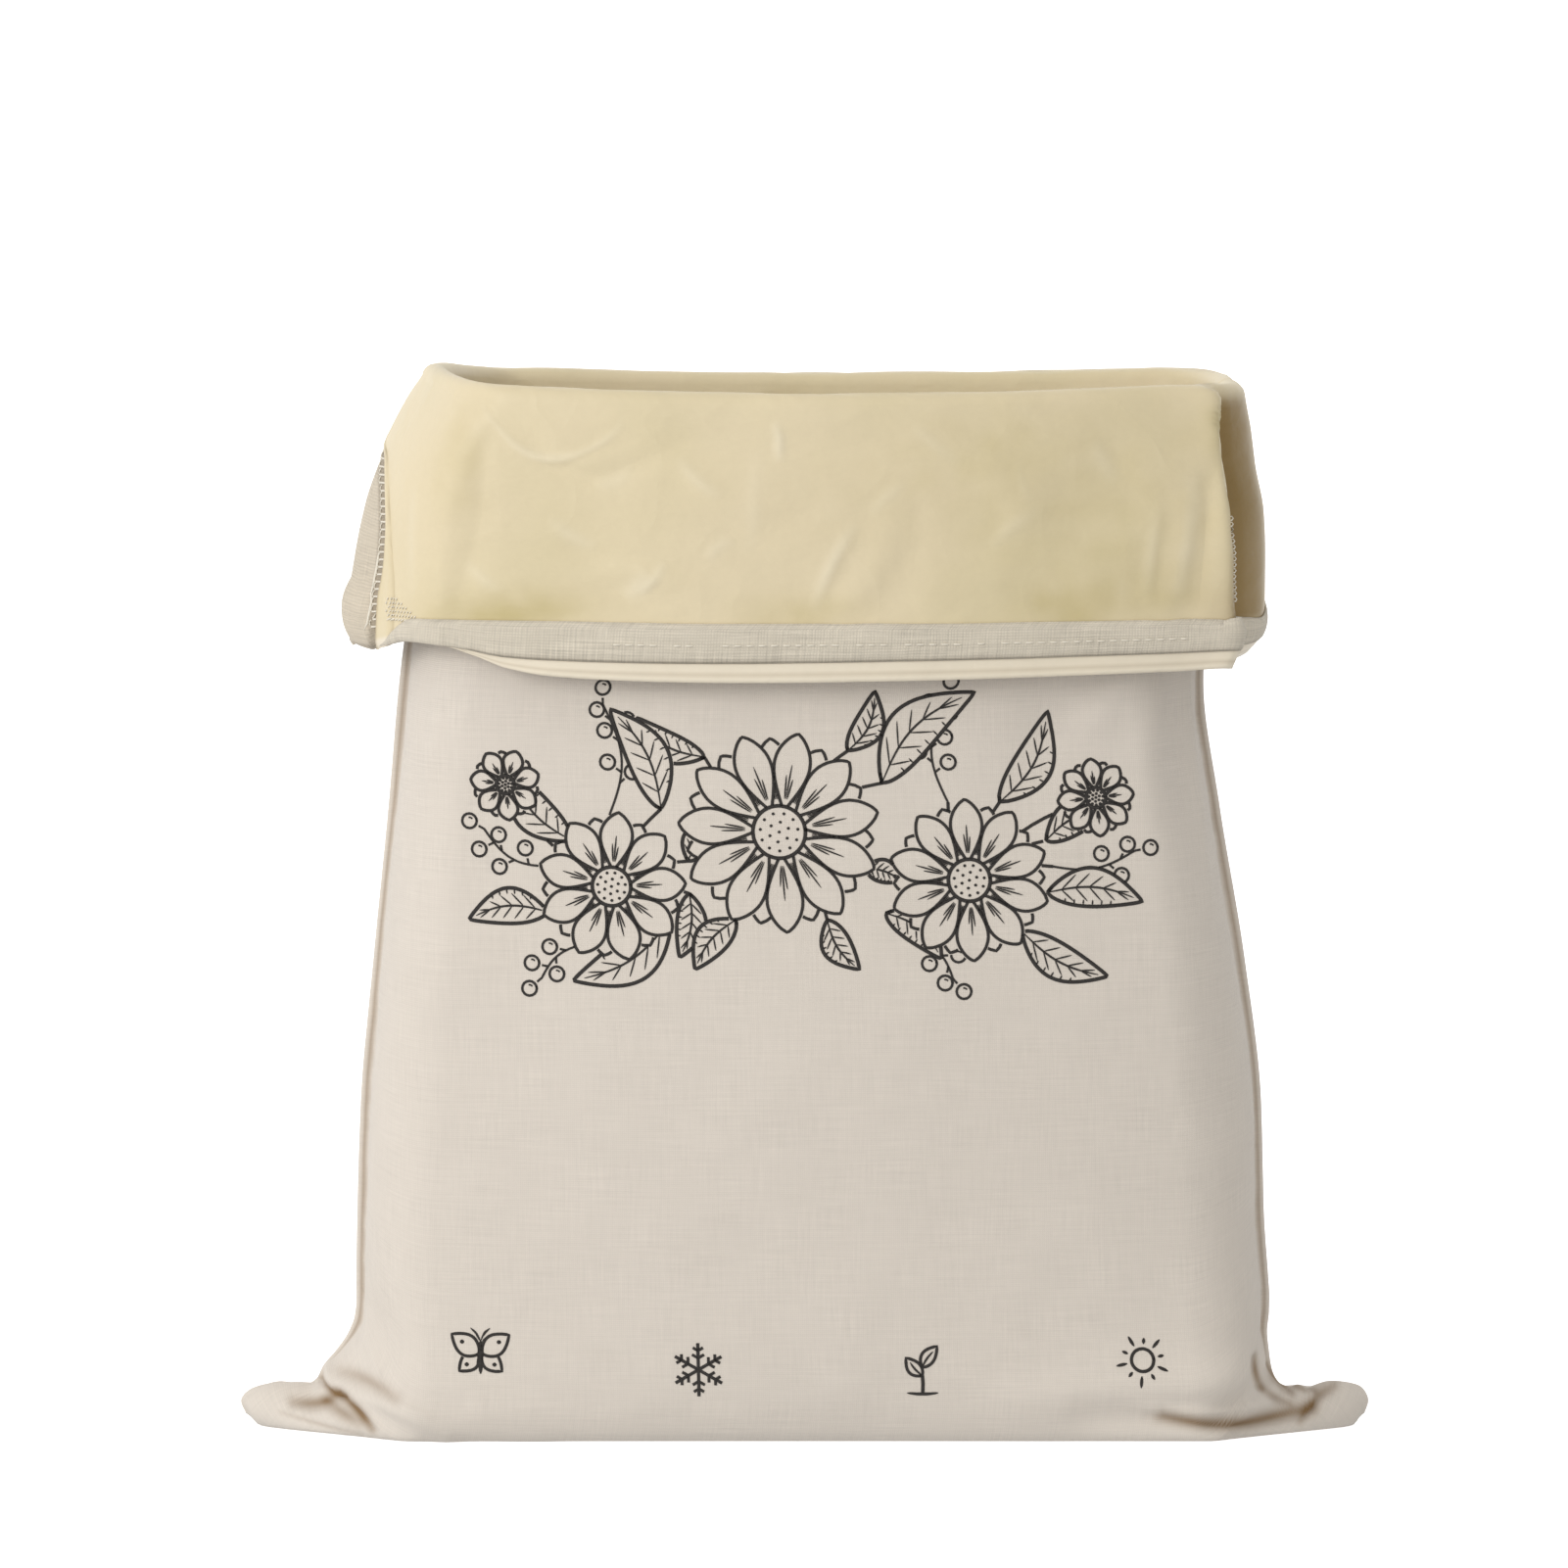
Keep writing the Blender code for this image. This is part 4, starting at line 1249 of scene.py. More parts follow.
# Painted shade along the casing's lower edge, where it overhangs the header.
CASING_SHADE = 0.6  # along its lower edge
CASING_SHADE_WIDTH = 0.07  # of its height
TONGUE_FROM = -131.0  # the front casing's left end, and where it has its full width
TONGUE_TO = -118.5
TONGUE_WIDTH = 0.25  # of the full width, at its end
HEADER_FROM = (-112.0, -101.0)  # where the cream header comes out from under the front casing
HEADER_COVER = 0.8  # of the mouth edge, which the casing covers to the left of it
SUNK_REACH = (0, 9)  # from the left seam, where the back casing lies closer to the lining
SUNK = 0.7


def make_casing(side, sheet, material):
    """The casing strip: a flat tube of linen, fuller in its middle, over the lining. The front
    one's left end is a tongue that comes out from under the linen's corner."""
    back = side == "back"
    first = sheet.first_cuff + CUFF_STEPS - 1
    kept = sheet.points[first, :, 0] > (-np.inf if back else TONGUE_FROM)
    grids = [grid[:, kept] for grid in (sheet.points, sheet.normals, sheet.across, sheet.run)]
    x = grids[0][first, :, 0]
    width = np.ones(len(x))
    if not back:
        width = TONGUE_WIDTH + (1 - TONGUE_WIDTH) * ease(TONGUE_FROM, TONGUE_TO, x)
    steps = CASING_STEPS + HEADER_COVER * EDGE_STEPS * (1 - ease(*HEADER_FROM, x))
    share = np.linspace(0, 1, CASING_ROWS)[:, None]
    at = first + steps * (1 - width * (1 - share))
    lift = LAYER_STEP + CASING_LIFT + CASING_FULL * width * np.sqrt(np.sin(np.pi * share))
    if back:
        lift *= 1 - SUNK * (1 - ease(*SUNK_REACH, x - x[0]))
    points, normals, across, run = (between_rows(grid, at) for grid in grids)
    points = points - normals * lift[:, :, None]
    points[:, :, 1] = np.minimum(points[:, :, 1], -SEAM_Y)
    strip = Sheet(points, normals_of(points), across, run, 0, 0, None)
    made = sheet_object(f"casing_{side}_strip", strip, material, back, CASING_THICK)
    # Painted shade along the strip's lower edge.
    crease = CASING_SHADE * np.exp(-(((share - 1) / CASING_SHADE_WIDTH) ** 2))
    add_attribute(made, "crease", crease * np.ones(at.shape), back)
    return finish_piece(made, "casing", f"casing_{side}"), strip


# ---------------------------------------------------------------------------------------------
# The print: meadow flowers, and four small signs by the bag's foot. Places are across and height.
# ---------------------------------------------------------------------------------------------

INK_LIFT = 0.06
INK_THICK = 0.08
OUTLINE = 1.15  # the widths of the drawing's lines
THIN_OUTLINE = 0.95
VEIN = 0.7
HATCH = 0.5
STROKE_STEP = 0.9
BERRY = 2.3  # a berry's radius, and how far it is from its stem
BERRY_STALK = 5.2
PRINT_ABOVE = 2.0  # the height above which the linen can carry ink

Flower = namedtuple("Flower", "across z radius petals turn")
Leaf = namedtuple("Leaf", "across z angle length width bend")
Sprig = namedtuple("Sprig", "across z angle length bend berries")
Sign = namedtuple("Sign", "draw across z size")

FLOWERS = [
    Flower(-8, 189, 31, 11, 0.20),
    Flower(-60, 172, 23, 9, 0.05),
    Flower(50, 174, 25, 10, 0.35),
    Flower(-92, 203, 11, 7, 0.3),
    Flower(90, 199, 12, 8, 0.1),
]

LEAVES = [
    Leaf(-42, 162, 212, 36, 14, 4),
    Leaf(-80, 164, 186, 25, 11, -3),
    Leaf(-72, 186, 128, 30, 12, 4),
    Leaf(-44, 196, 116, 34, 13, -4),
    Leaf(-30, 212, 150, 24, 9, 3),
    Leaf(-36, 180, 60, 14, 8, 1),
    Leaf(14, 214, 66, 20, 9, -3),
    Leaf(24, 204, 44, 40, 15, 5),
    Leaf(60, 198, 60, 32, 12, -4),
    Leaf(74, 186, 22, 22, 10, 3),
    Leaf(74, 170, -6, 30, 12, 3),
    Leaf(66, 158, -28, 30, 11, -3),
    Leaf(24, 164, -40, 22, 10, 3),
    Leaf(6, 162, -58, 18, 9, -2),
    Leaf(-22, 162, -130, 20, 10, -2),
    Leaf(-36, 170, -100, 20, 9, 2),
    Leaf(18, 178, -20, 12, 7, 1),
]

SPRIGS = [
    Sprig(-78, 178, 152, 24, 4, 5),
    Sprig(-60, 194, 92, 34, -5, 7),
    Sprig(44, 198, 88, 32, 5, 7),
    Sprig(76, 178, 10, 26, -3, 5),
    Sprig(34, 156, -50, 16, 2, 4),
    Sprig(-70, 154, -140, 16, -2, 4),
]


class Drawing:
    """Ink lines on the flat. What is drawn first hides what is drawn later behind it."""

    def __init__(self):
        self.strokes = []
        self.shapes = []

    def hidden(self, places):
        """Which of the places lie inside a shape that is already drawn."""
        inside = np.zeros(len(places), bool)
        for shape in self.shapes:
            after = np.roll(shape, -1, axis=0)
            x, y = places[:, :1], places[:, 1:]
            crosses = (shape[:, 1] > y) != (after[:, 1] > y)
            rise = np.where(after[:, 1] == shape[:, 1], 1e-9, after[:, 1] - shape[:, 1])
            edge = shape[:, 0] + (y - shape[:, 1]) / rise * (after[:, 0] - shape[:, 0])
            inside |= (crosses & (x < edge)).sum(axis=1) % 2 == 1
        return inside

    def stroke(self, places, width, tapered=True):
        """A line through the places, thin at its ends if tapered, broken where it is hidden."""
        places = np.asarray(places, float)
        length = lengths_along(places)
        count = max(4, round(length[-1] / STROKE_STEP) + 1)
        at = np.linspace(0, length[-1], count)
        places = np.stack([np.interp(at, length, places[:, k]) for k in (0, 1)], axis=1)
        share = np.linspace(0, 1, count)
        swell = 0.25 + 0.75 * np.sqrt(np.sin(np.pi * share)) if tapered else np.ones(count)
        shown = ~self.hidden(places)
        edges = np.flatnonzero(np.diff(np.concatenate([[0], shown.astype(int), [0]])))
        for start, end in edges.reshape(-1, 2):
            if end - start >= 3:
                self.strokes.append((places[start:end], width * swell[start:end]))

    def outline(self, places, width=OUTLINE):
        """A closed line that hides what comes later inside it."""
        places = np.asarray(places, float)
        closed = np.concatenate([places, places[:2]])
        self.stroke(closed, width, tapered=False)
        self.shapes.append(places)

    def dot(self, place, size):
        ends = np.array([[-0.5, 0.0], [-0.17, 0.0], [0.17, 0.0], [0.5, 0.0]]) * size
        if not self.hidden(np.array([place]))[0]:
            self.strokes.append((ends + place, size * np.array([0.35, 0.95, 0.95, 0.35])))


def heading(angle):
    """A step of length 1 in that direction."""
    return np.array([math.cos(angle), math.sin(angle)])


def ring(count):
    """Places around a circle of radius 1."""
    return np.array([heading(2 * math.pi * i / count) for i in range(count)])


def leaf_side(base, angle, length, width, bend, side):
    """One side of a leaf, from its base to its tip."""
    t = np.linspace(0, 1, 22)
    along, across = heading(angle), heading(angle + math.pi / 2)
    bulge = side * width / 2 * np.sin(np.pi * t**0.85) ** 0.9
    middle = bend * np.sin(np.pi * t)
    return base + np.outer(t * length, along) + np.outer(bulge + middle, across)


def joined(sides):
    """The closed line around a leaf, petal or wing, from its two sides."""
    return np.concatenate([sides[0], sides[1][-2:0:-1]])


def draw_leaf(drawing, leaf):
    base, angle = np.array([leaf.across, leaf.z], float), math.radians(leaf.angle)
    sides = [leaf_side(base, angle, leaf.length, leaf.width, leaf.bend, s) for s in (1, -1)]
    rib = leaf_side(base, angle, leaf.length, 0, leaf.bend, 0)
    drawing.stroke(rib[:20], VEIN)
    for i in range(3, 18, 3):
        for side in sides:
            vein = rib[i] + np.outer(np.linspace(0, 0.72, 5), side[min(i + 4, 21)] - rib[i])
            drawing.stroke(vein, HATCH)
    for i in range(4, 16, 2):
        edge, inner = sides[1][i], rib[i]
        drawing.stroke(edge + np.outer(np.linspace(0.06, 0.34, 4), inner - edge), HATCH)
    drawing.outline(joined(sides))


def draw_flower(drawing, flower):
    centre = np.array([flower.across, flower.z], float)
    core = 0.26 * flower.radius
    for circle, count in ((0.0, 1), (0.38, 6), (0.72, 11)):
        for i in range(count):
            angle = 2 * math.pi * i / count + circle
            drawing.dot(centre + heading(angle) * core * circle, 0.95)
    drawing.outline(centre + ring(40) * core)
    for offset, reach in ((0, 1.0), (0.5, 0.93)):
        for i in range(flower.petals):
            angle = flower.turn + 2 * math.pi * (i + offset) / flower.petals
            draw_petal(drawing, centre, angle, core, flower.radius * reach, flower.petals)


def draw_petal(drawing, centre, angle, core, radius, count):
    length = radius - core * 0.8
    width = 2 * math.pi * radius / count * 0.62
    base = centre + heading(angle) * core * 0.8
    t = np.linspace(0, 1, 20)
    spread = width / 2 * np.sin(np.pi * t**1.35) ** 0.75
    along, across = heading(angle), heading(angle + math.pi / 2)
    sides = [base + np.outer(t * length, along) + np.outer(s * spread, across) for s in (1, -1)]
    for offset, reach in ((-0.22, 0.42), (0.0, 0.60), (0.22, 0.46)):
        line = np.linspace(0.16, reach, 6)
        end = length * along + offset * width * across
        drawing.stroke(base + np.outer(line, end), HATCH)
    drawing.outline(joined(sides), THIN_OUTLINE)


def draw_sprig(drawing, sprig):
    base, angle = np.array([sprig.across, sprig.z], float), math.radians(sprig.angle)
    stem = leaf_side(base, angle, sprig.length, 0, sprig.bend, 0)
    for i in range(sprig.berries):
        start = stem[6 + round(15 * i / (sprig.berries - 1))]
        side = 1 if i % 2 else -1
        turn = angle + side * (0.9 if i < sprig.berries - 1 else 0.0)
        berry = start + heading(turn) * BERRY_STALK
        drawing.stroke([berry + heading(a) * 1.1 for a in (0.6, 1.0, 1.4, 1.8)], HATCH, False)
        drawing.outline(berry + ring(18) * BERRY, 0.8)
        drawing.stroke([start + heading(turn) * r for r in (0.0, 1.5, 3.0)], VEIN, False)
    drawing.stroke(stem, VEIN, False)


def draw_stem(drawing, foot):
    """A stem from the nearest large flower, which hides its start."""
    centres = np.array([[flower.across, flower.z] for flower in FLOWERS[:3]], float)
    centre = centres[np.argmin(np.linalg.norm(centres - foot, axis=1))]
    share = np.linspace(0, 1, 12)[:, None]
    side = np.array([centre[1] - foot[1], foot[0] - centre[0]]) * 0.08
    drawing.stroke(centre + (foot - centre) * share + side * np.sin(np.pi * share), 1.0, False)


def placed(places, sign):
    """Places drawn about (0, 0) at size 1, moved to the sign's place at its size."""
    return np.array([sign.across, sign.z]) + np.asarray(places, float) * sign.size


def draw_butterfly(drawing, sign):
    drawing.stroke(placed([(0, -0.28), (0, 0.0), (0, 0.26)], sign), 1.6)
    for side in (-1, 1):
        drawing.stroke(placed([(0, 0.24), (side * 0.07, 0.38), (side * 0.16, 0.46)], sign), VEIN)
        for angle, reach, wide in ((0.62, 0.54, 0.34), (-0.72, 0.42, 0.28)):
            base = np.array([side * 0.03, 0.04])
            turned = angle if side > 0 else math.pi - angle
            sides = [leaf_side(base, turned, reach, wide, 0, s) for s in (1, -1)]
            spot = base + heading(turned) * reach * 0.62
            drawing.dot(placed(spot, sign), 1.3)
            drawing.outline(placed(joined(sides), sign), THIN_OUTLINE)


def draw_snow_star(drawing, sign):
    for i in range(6):
        angle = math.pi / 6 + i * math.pi / 3
        arm = [heading(angle) * r for r in (0.0, 0.25, 0.5)]
        drawing.stroke(placed(arm, sign), 1.0, False)
        for fork, reach in ((0.22, 0.13), (0.36, 0.11)):
            for side in (-1, 1):
                start = heading(angle) * fork
                tip = start + heading(angle + side * math.pi / 3) * reach
                drawing.stroke(placed([start, (start + tip) / 2, tip], sign), 0.9, False)


def draw_sprout(drawing, sign):
    stem = [(0.0, -0.48), (0.01, -0.3), (0.0, -0.12), (0.0, 0.08)]
    for x, z, angle, reach in ((0, 0.02, 0.95, 0.5), (0, -0.14, 2.3, 0.46)):
        sides = [leaf_side(np.array([x, z]), angle, reach, 0.26, 0.02, s) for s in (1, -1)]
        rib = leaf_side(np.array([x, z]), angle, reach * 0.75, 0, 0.02, 0)
        drawing.stroke(placed(rib, sign), VEIN)
        drawing.outline(placed(joined(sides), sign), THIN_OUTLINE)
    drawing.stroke(placed(stem, sign), 1.1, False)
    ground = [(-0.3, -0.48), (-0.1, -0.5), (0.1, -0.5), (0.3, -0.48)]
    drawing.stroke(placed(ground, sign), 1.0)


def draw_sun(drawing, sign):
    drawing.outline(placed(ring(30) * 0.2, sign), 1.0)
    for i in range(10):
        out = heading(2 * math.pi * i / 10 + 0.2)
        reach = (0.28, 0.38, 0.48) if i % 2 else (0.28, 0.33, 0.39)
        drawing.stroke(placed([out * r for r in reach], sign), 1.0)


SIGNS = [
    Sign(draw_butterfly, -102.0, 26.7, 19.0),
    Sign(draw_snow_star, -34.8, 23.2, 16.5),
    Sign(draw_sprout, 33.9, 23.7, 16.0),
    Sign(draw_sun, 102.0, 25.5, 17.5),
]


class Surface:
    """Finds points of a sheet by their place across the cloth and their height."""

    def __init__(self, sheet, rows, outward):
        self.points, self.across = sheet.points[rows], sheet.across[rows]
        self.normals = sheet.normals[rows] * outward
        self.rising = 1 if self.points[-1, 0, 2] > self.points[0, 0, 2] else -1

    def at(self, across, height, lift):
        """The point there, so far off the sheet's middle."""
        columns, rows = np.arange(self.points.shape[1]), np.arange(self.points.shape[0])
        row = len(rows) / 2
        for _ in range(3):
            above = min(int(row) + 1, len(rows) - 1)
            column = np.interp(across, self.across[int(row)], columns) * (1 - row % 1)
            column += np.interp(across, self.across[above], columns) * (row % 1)
            low = min(int(column), len(columns) - 2)
            share = column - low
            line = self.points[:, low, 2] * (1 - share) + self.points[:, low + 1, 2] * share
            row = np.interp(height * self.rising, line * self.rising, rows)
        first = min(int(row), len(rows) - 2)
        up = row - first
        point, normal = np.zeros(3), np.zeros(3)
        for i, weight in ((first, 1 - up), (first + 1, up)):
            for j, other in ((low, 1 - share), (low + 1, share)):
                point += self.points[i, j] * weight * other
                normal += self.normals[i, j] * weight * other
        return point + normal * lift / np.linalg.norm(normal)


def ribbon(surface, places, widths, lift):
    """The two edges of an inked line, as points on the cloth."""
    along = np.gradient(places, axis=0)
    along /= np.linalg.norm(along, axis=1, keepdims=True)
    side = np.stack([-along[:, 1], along[:, 0]], axis=1) * widths[:, None] / 2
    return [[surface.at(x, z, lift) for x, z in places + side * sign] for sign in (1, -1)]


def ink_object(name, drawing, surface, material):
    """The drawing's lines as ink on the cloth."""
    points, faces = [], []
    for places, widths in drawing.strokes:
        left, right = ribbon(surface, places, widths, LINEN_THICK / 2 + INK_LIFT)
        start, count = len(points), len(left)
        points += left + right
        for i in range(start, start + count - 1):
            faces.append((i, i + count, i + count + 1, i + 1))
    finish_piece(mesh_object(name, points, faces, material, INK_THICK, 1), "linen")


def make_print(sheet):
    """The meadow bunch and the small signs, on the front panel's wall."""
    first = int(np.argmax(sheet.points[:, sheet.points.shape[1] // 2, 2] > PRINT_ABOVE))
    surface = Surface(sheet, slice(first, sheet.first_rim), 1)
    ink = plain_material("black_ink", rgba(34, 30, 27), 0.8)
    flowers = Drawing()
    for draw, table in ((draw_flower, FLOWERS), (draw_leaf, LEAVES), (draw_sprig, SPRIGS)):
        for row in table:
            draw(flowers, row)
    for held in LEAVES + SPRIGS + FLOWERS[3:]:
        draw_stem(flowers, np.array([held.across, held.z], float))
    ink_object("meadow_print", flowers, surface, ink)
    signs = Drawing()
    for sign in SIGNS:
        sign.draw(signs, sign)
    ink_object("foot_signs", signs, surface, ink)


# ---------------------------------------------------------------------------------------------
# Stitches
# ---------------------------------------------------------------------------------------------

THREAD = 0.26  # a thread's radius, and those of a thick and a thin one
THICK_THREAD = 0.34
THIN_THREAD = 0.24
THREAD_SIDES = 5
THREAD_END = 0.45  # how thin it is at its ends
ACROSS_ALL = (0.31, 0.17, 0.93)  # a direction that no thread runs in

# A stitch's height over the cloth at shares of its length: it is sunk in at both ends.
STITCH_RISE = ((0.0, -0.25), (0.2, 0.15), (0.5, 0.28), (0.8, 0.15), (1.0, -0.25))

# Where the rows of stitches start and end, and the step between them: the ladder and the overlock
# in height, and the casing's across the cloth.
LADDER = (250.0, 303.0, 2.3)
LADDER_REACH = (3.0, 0.5)  # from the lining's edge
LADDER_SLANT = 0.3
OVERLOCK = (265.0, 288.0, 1.5)

# The tack at the open seam's foot: its rows of stitches, from the lowest up, each shorter than the
# one below it, and every other one set in by half a stitch.
TACK_ROWS = 6
TACK_FOOT = 252.6
TACK_RISE = 1.25
TACK_X = (-128.4, -117.6)
TACK_SHORTER = 1.5
TACK_SET_IN = 0.35
TACK_STEP = 0.95
TACK_STITCH = (0.5, 0.9)

TAPE = (-66, 112, 3.7)
TAPE_MISSED = 0.12  # the share of the casing's stitches that don't show
TAPE_DROP = 0.6  # below the casing's middle
TAPE_STITCH = 2.5

# The ridge thread down the linen's free corner: its ends' x and height.
RIDGE = ((-130.6, 273.0), (-134.6, 249.0))
RIDGE_RADIUS = 0.45

FLAP_FRONT = -50.0  # the flap's edge lies in front of this

# One overlock loop around the flap's edge.
LOOP = ((-0.3, 0.4, 0.0), (0.7, 1.0, 0.1), (1.0, 1.4, 0.7), (0.7, 1.4, 1.2), (-0.3, 0.8, 1.3))


class Thread:
    """Many short threads, joined into one mesh."""

    def __init__(self):
        self.points = []
        self.faces = []

    def add(self, line, radius=THREAD):
        """A thread through a few points, closed at its ends."""
        line = np.array(line, float)
        along = np.gradient(line, axis=0)
        along /= np.linalg.norm(along, axis=1, keepdims=True)
        level = np.cross(along, ACROSS_ALL)
        level /= np.linalg.norm(level, axis=1, keepdims=True)
        other = np.cross(along, level)
        start, count = len(self.points), len(line)
        for i in range(count):
            size = radius * (THREAD_END if i in (0, count - 1) else 1.0)
            for k in range(THREAD_SIDES):
                angle = 2 * math.pi * k / THREAD_SIDES
                turned = level[i] * math.cos(angle) + other[i] * math.sin(angle)
                self.points.append(line[i] + turned * size)
        for i in range(count - 1):
            for k in range(THREAD_SIDES):
                a = start + i * THREAD_SIDES + k
                b = start + i * THREAD_SIDES + (k + 1) % THREAD_SIDES
                self.faces.append((a, b, b + THREAD_SIDES, a + THREAD_SIDES))
        self.faces.append(tuple(start + k for k in reversed(range(THREAD_SIDES))))
        last = start + (count - 1) * THREAD_SIDES
        self.faces.append(tuple(last + k for k in range(THREAD_SIDES)))

    def stitch(self, surface, start, end, off, radius=THREAD):
        """One stitch between two places on a surface."""
        start, end = np.asarray(start, float), np.asarray(end, float)
        line = []
        for share, rise in STITCH_RISE:
            across, height = start + (end - start) * share
            line.append(surface.at(across, height, off + rise * radius / THREAD))
        self.add(line, radius)


def row_at(sheet, column, height):
    """The row of the cuff that is nearest to the height in the column."""
    away = np.abs(sheet.points[sheet.first_cuff :, column, 2] - height)
    return sheet.first_cuff + int(np.argmin(away))


def across_at(sheet, x, height):
    """The place across the cloth of the cuff's left half at x and the height."""
    half = sheet.points.shape[1] // 2
    row = row_at(sheet, half // 3, height)
    return float(np.interp(x, sheet.points[row, :half, 0], sheet.across[row, :half]))


def seam_stitches(thread, outer):
    """Ladder stitches on the linen beside the lining's open seam, and the ridge below them."""
    linen, off = Surface(outer, slice(outer.first_cuff, None), -1), LINEN_THICK / 2
    for height in np.arange(*LADDER):
        start, end = (across_at(outer, slit_x(height) - away, height) for away in LADDER_REACH)
        thread.stitch(linen, (start, height), (end, height + LADDER_SLANT), off, THICK_THREAD)
        above = (start + 0.2, height + LADDER[2])
        thread.stitch(linen, (start, height), above, off, THIN_THREAD)
    ridge = []
    for x, height in np.linspace(*RIDGE, 12):
        ridge.append(linen.at(across_at(outer, x, height), height, off + 0.1))
    thread.add(ridge, RIDGE_RADIUS)


def tack_stitches(thread, lined):
    """Slanted rows of stitches on the lining at the open seam's foot."""
    lining, off = Surface(lined, slice(lined.first_cuff, None), -1), LINING_THICK / 2
    for row in range(TACK_ROWS):
        height = TACK_FOOT + TACK_RISE * row
        first, last = TACK_X[0] + TACK_SET_IN * (row % 2), TACK_X[1] - TACK_SHORTER * row
        for x in np.arange(first, last, TACK_STEP):
            start = np.array([across_at(lined, x, height), height])
            thread.stitch(lining, start, start + TACK_STITCH, off, THIN_THREAD)


def overlock_loops(thread, lined):
    """Loops of thread around the front flap's edge, in the groove."""
    half = lined.points.shape[1] // 2
    for height in np.arange(*OVERLOCK):
        flap = lined.points[row_at(lined, -1, height), half:-30]
        root = flap[int(np.argmax(flap[:, 0] * (flap[:, 1] < FLAP_FRONT)))]
        thread.add(root + np.array(LOOP), THREAD)


def tape_stitches(thread, strip):
    """One line of running stitches along the front casing, a few of them hidden."""
    rng = np.random.default_rng(5)
    tape = Surface(strip, slice(None), -1)
    middle = strip.points.shape[0] // 2
    for across in np.arange(*TAPE):
        if rng.uniform() < TAPE_MISSED:
            continue
        column = int(np.argmin(np.abs(strip.across[middle] - across)))
        height = strip.points[middle, column, 2] - TAPE_DROP
        end = (across + TAPE_STITCH, height)
        thread.stitch(tape, (across, height), end, CASING_THICK / 2, THREAD)


def make_stitches(outer, lined, strip):
    """The stitches that show on the front: by the open seam, at the flap and on the casing."""
    thread = Thread()
    seam_stitches(thread, outer)
    tack_stitches(thread, lined)
    overlock_loops(thread, lined)
    tape_stitches(thread, strip)
    cotton = plain_material("sewing_thread", rgba(232, 225, 210), 0.8)
    finish_piece(mesh_object("cuff_stitches", thread.points, thread.faces, cotton), "linen")


def build_bag():
    """The bag's six sheets, its print and its stitches."""
    linen = linen_material("natural_linen", LINEN)
    inside = linen_material("linen_inner_face", INSIDE)
    band = linen_material("casing_linen", BAND)
    for side, folds, small, seed in (
        ("front", FRONT_FOLDS, SMALL_FRONT_FOLDS, 1.0),
        ("back", BACK_FOLDS, SMALL_BACK_FOLDS, 11.0),
    ):
        front = side == "front"
        outer = panel(FLOOR_ROWS, folds, small, seed, front, lip=True, slit=False)
        inner = panel(LINING_FLOOR_ROWS, folds, small, seed, front, lip=False, slit=True)
        full = panel(FLOOR_ROWS, folds, small, seed, front, lip=False, slit=False)
        outer = with_rolled_corner(outer)
        lined = with_hem(layer(inner, LAYER_STEP))
        if front:
            lining = lining_material(cloth_lines(lined))
        panels = make_linen(side, outer, small, linen, inside), make_lining(side, lined, lining)
        tape, strip = make_casing(side, full, band)
        if front:
            make_print(outer)
            make_stitches(outer, lined, strip)


# ---------------------------------------------------------------------------------------------
# The stage
# ---------------------------------------------------------------------------------------------

CAMERA_DISTANCE = 6.0
CAMERA_ELEVATION = 3.6
CAMERA_TARGET = Vector((-6.45, -65.0, 203.6)) * MM
FRAME_WIDTH = 0.4803  # of the picture, at the target
SENSOR = 36.0
STUDIO_WHITE = (1.0, 0.995, 0.985, 1)
BRIGHT_SIDE = (-0.80, -0.45, 0.40)  # the direction in which the studio is brightest
WORLD_DARK = 0.45
WORLD_BRIGHT = 1.05
FLOOR_WHITE = (0.9, 0.9, 0.9, 1)
FLOOR_GLOW = 0.75

# The backdrop's floor and wall: half its width, its front, and the bend and top behind.
DROP_SIDE = 9000.0
DROP_FRONT = -9000.0
DROP_BEND_Y = 3000.0
DROP_BEND = 2500.0
DROP_TOP = 9000.0

Light = namedtuple("Light", "name place target size watts colour")

LIGHTS = [
    Light("key", (-1.25, -1.25, 0.80), (0.02, 0, 0.16), 0.8, 8.6, (1.0, 0.985, 0.96)),
    Light("fill", (1.75, -0.75, 0.40), (0.05, 0, 0.16), 1.2, 3.4, (1.0, 0.975, 0.90)),
]


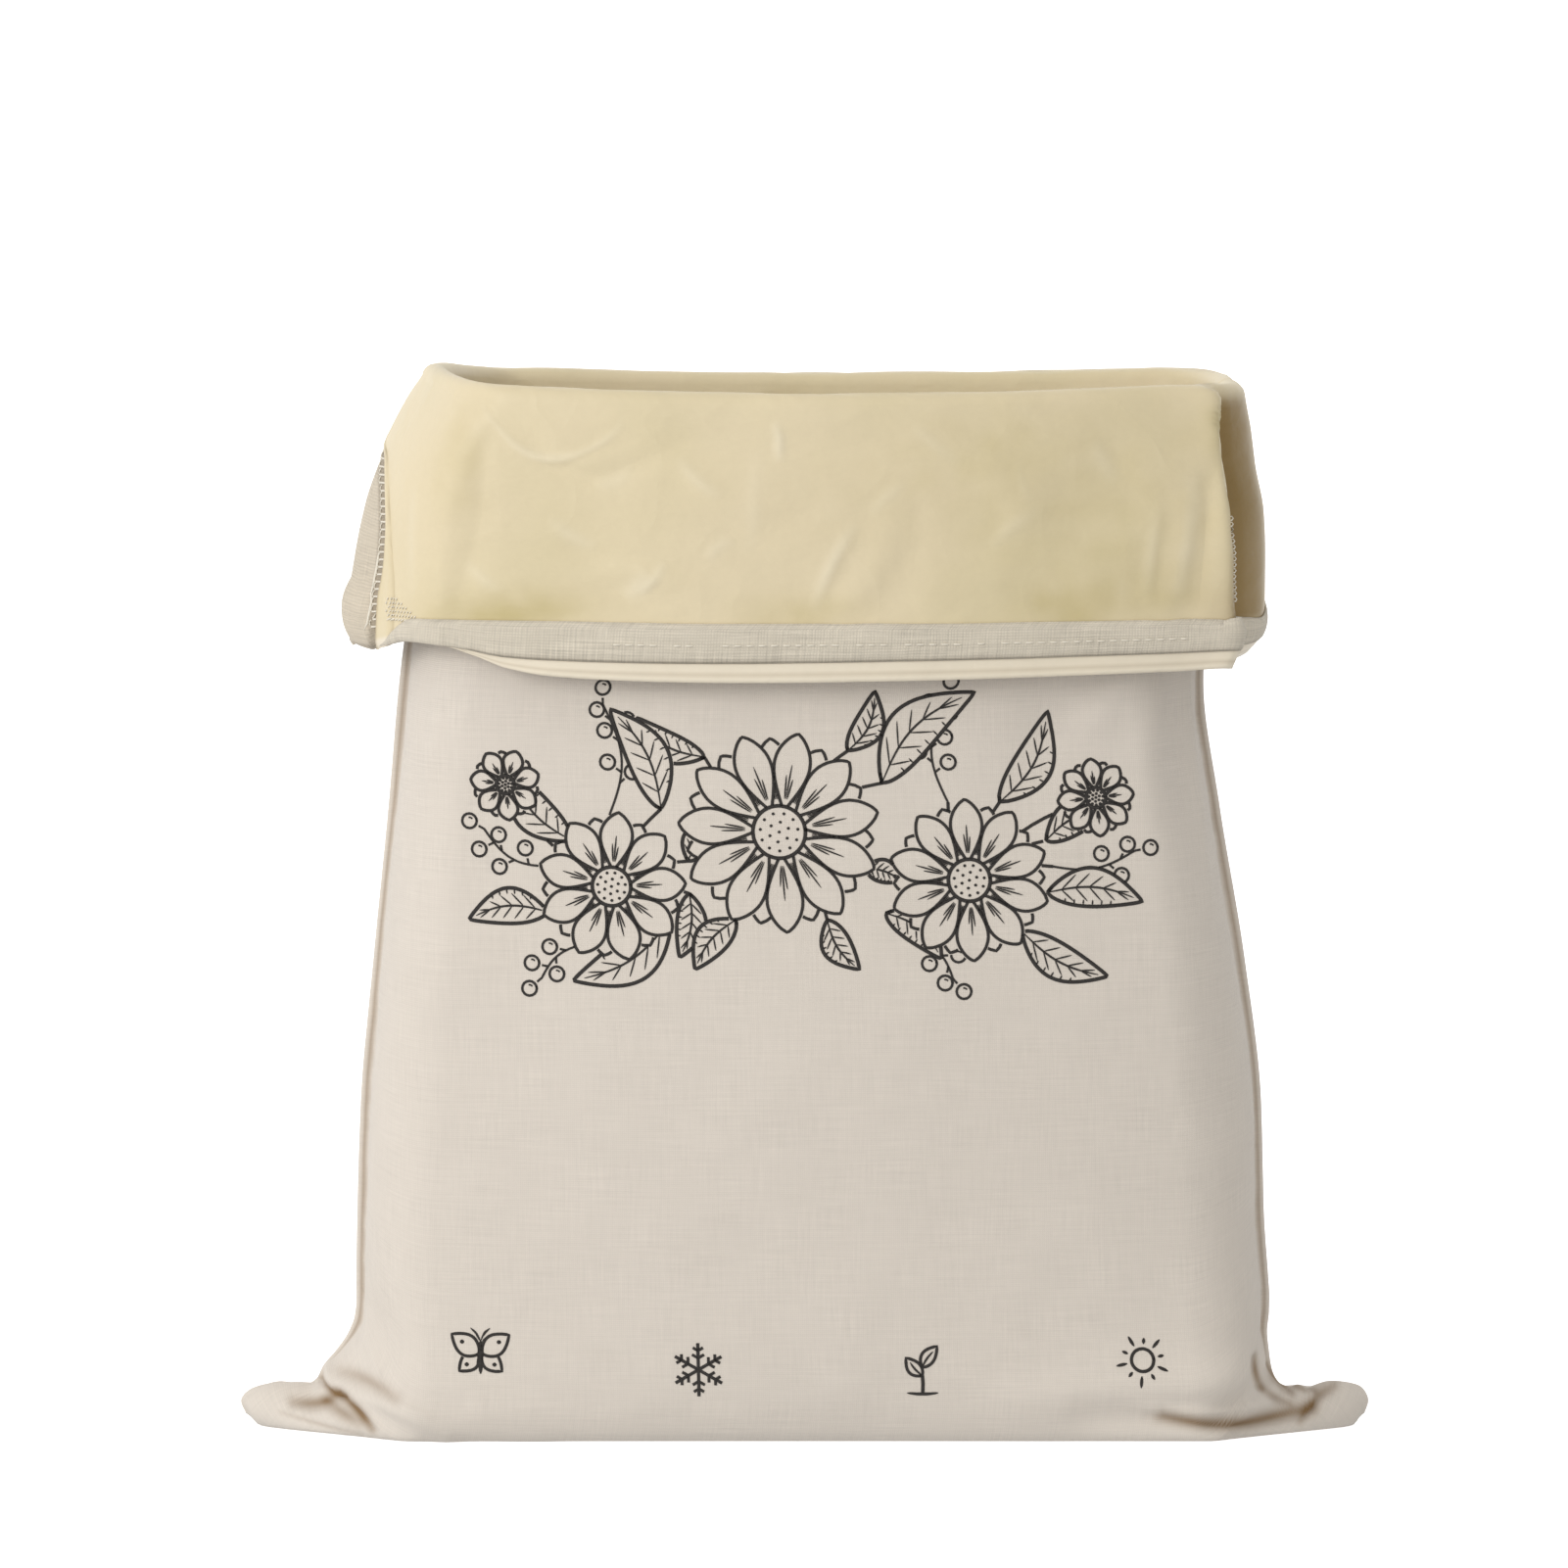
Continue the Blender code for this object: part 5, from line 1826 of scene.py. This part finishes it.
def make_stage():
    """A pale floor that bends up into a wall behind the bag."""
    profile = [(DROP_FRONT, 0.0), (DROP_BEND_Y, 0.0)]
    for a in np.linspace(0.1, math.pi / 2, 14):
        profile.append((DROP_BEND_Y + DROP_BEND * math.sin(a), DROP_BEND * (1 - math.cos(a))))
    profile.append((DROP_BEND_Y + DROP_BEND, DROP_TOP))
    points = [(x, y, z) for y, z in profile for x in (-DROP_SIDE, DROP_SIDE)]
    faces = [(2 * i, 2 * i + 1, 2 * i + 3, 2 * i + 2) for i in range(len(profile) - 1)]
    pale = Nodes("pale_floor").finish(
        Base_Color=FLOOR_WHITE,
        Roughness=0.9,
        Emission_Color=(1, 1, 1, 1),
        Emission_Strength=FLOOR_GLOW,
    )
    floor = mesh_object("backdrop", points, faces, pale)
    floor.visible_diffuse = False


def make_world():
    """A plain studio that is brighter on the key light's side."""
    world = bpy.data.worlds.new("studio")
    bpy.context.scene.world = world
    world.use_nodes = True
    tree = world.node_tree
    background = tree.nodes["Background"]
    background.inputs["Color"].default_value = STUDIO_WHITE
    place = tree.nodes.new("ShaderNodeTexCoord")
    side = tree.nodes.new("ShaderNodeVectorMath")
    side.operation = "DOT_PRODUCT"
    side.inputs[1].default_value = Vector(BRIGHT_SIDE).normalized()
    tree.links.new(place.outputs["Generated"], side.inputs[0])
    level = tree.nodes.new("ShaderNodeMapRange")
    level.inputs["From Min"].default_value = -0.5
    level.inputs["From Max"].default_value = 1.0
    level.inputs["To Min"].default_value = WORLD_DARK
    level.inputs["To Max"].default_value = WORLD_BRIGHT
    tree.links.new(side.outputs["Value"], level.inputs["Value"])
    tree.links.new(level.outputs["Result"], background.inputs["Strength"])


def make_light(row):
    """A round area light, turned to its target."""
    light = bpy.data.lights.new(row.name, "AREA")
    light.shape = "DISK"
    light.size = row.size
    light.energy = row.watts
    light.color = row.colour
    made = add_object(row.name, light)
    made.location = row.place
    aim = Vector(row.target) - Vector(row.place)
    made.rotation_euler = aim.to_track_quat("-Z", "Y").to_euler()


def make_camera():
    """A long lens from a little above the bag's middle, as the photograph was taken."""
    camera = bpy.data.cameras.new("camera")
    camera.sensor_width = SENSOR
    camera.lens = SENSOR * CAMERA_DISTANCE / FRAME_WIDTH
    camera.clip_end = 100
    made = add_object("camera", camera)
    tilt = math.radians(CAMERA_ELEVATION)
    back = Vector((0, -math.cos(tilt), math.sin(tilt)))
    made.location = CAMERA_TARGET + back * CAMERA_DISTANCE
    made.rotation_euler = (math.pi / 2 - tilt, 0, 0)
    bpy.context.scene.camera = made


make_camera()
make_stage()
make_world()
for row in LIGHTS:
    make_light(row)
build_bag()

bpy.context.scene.view_settings.view_transform = "Standard"
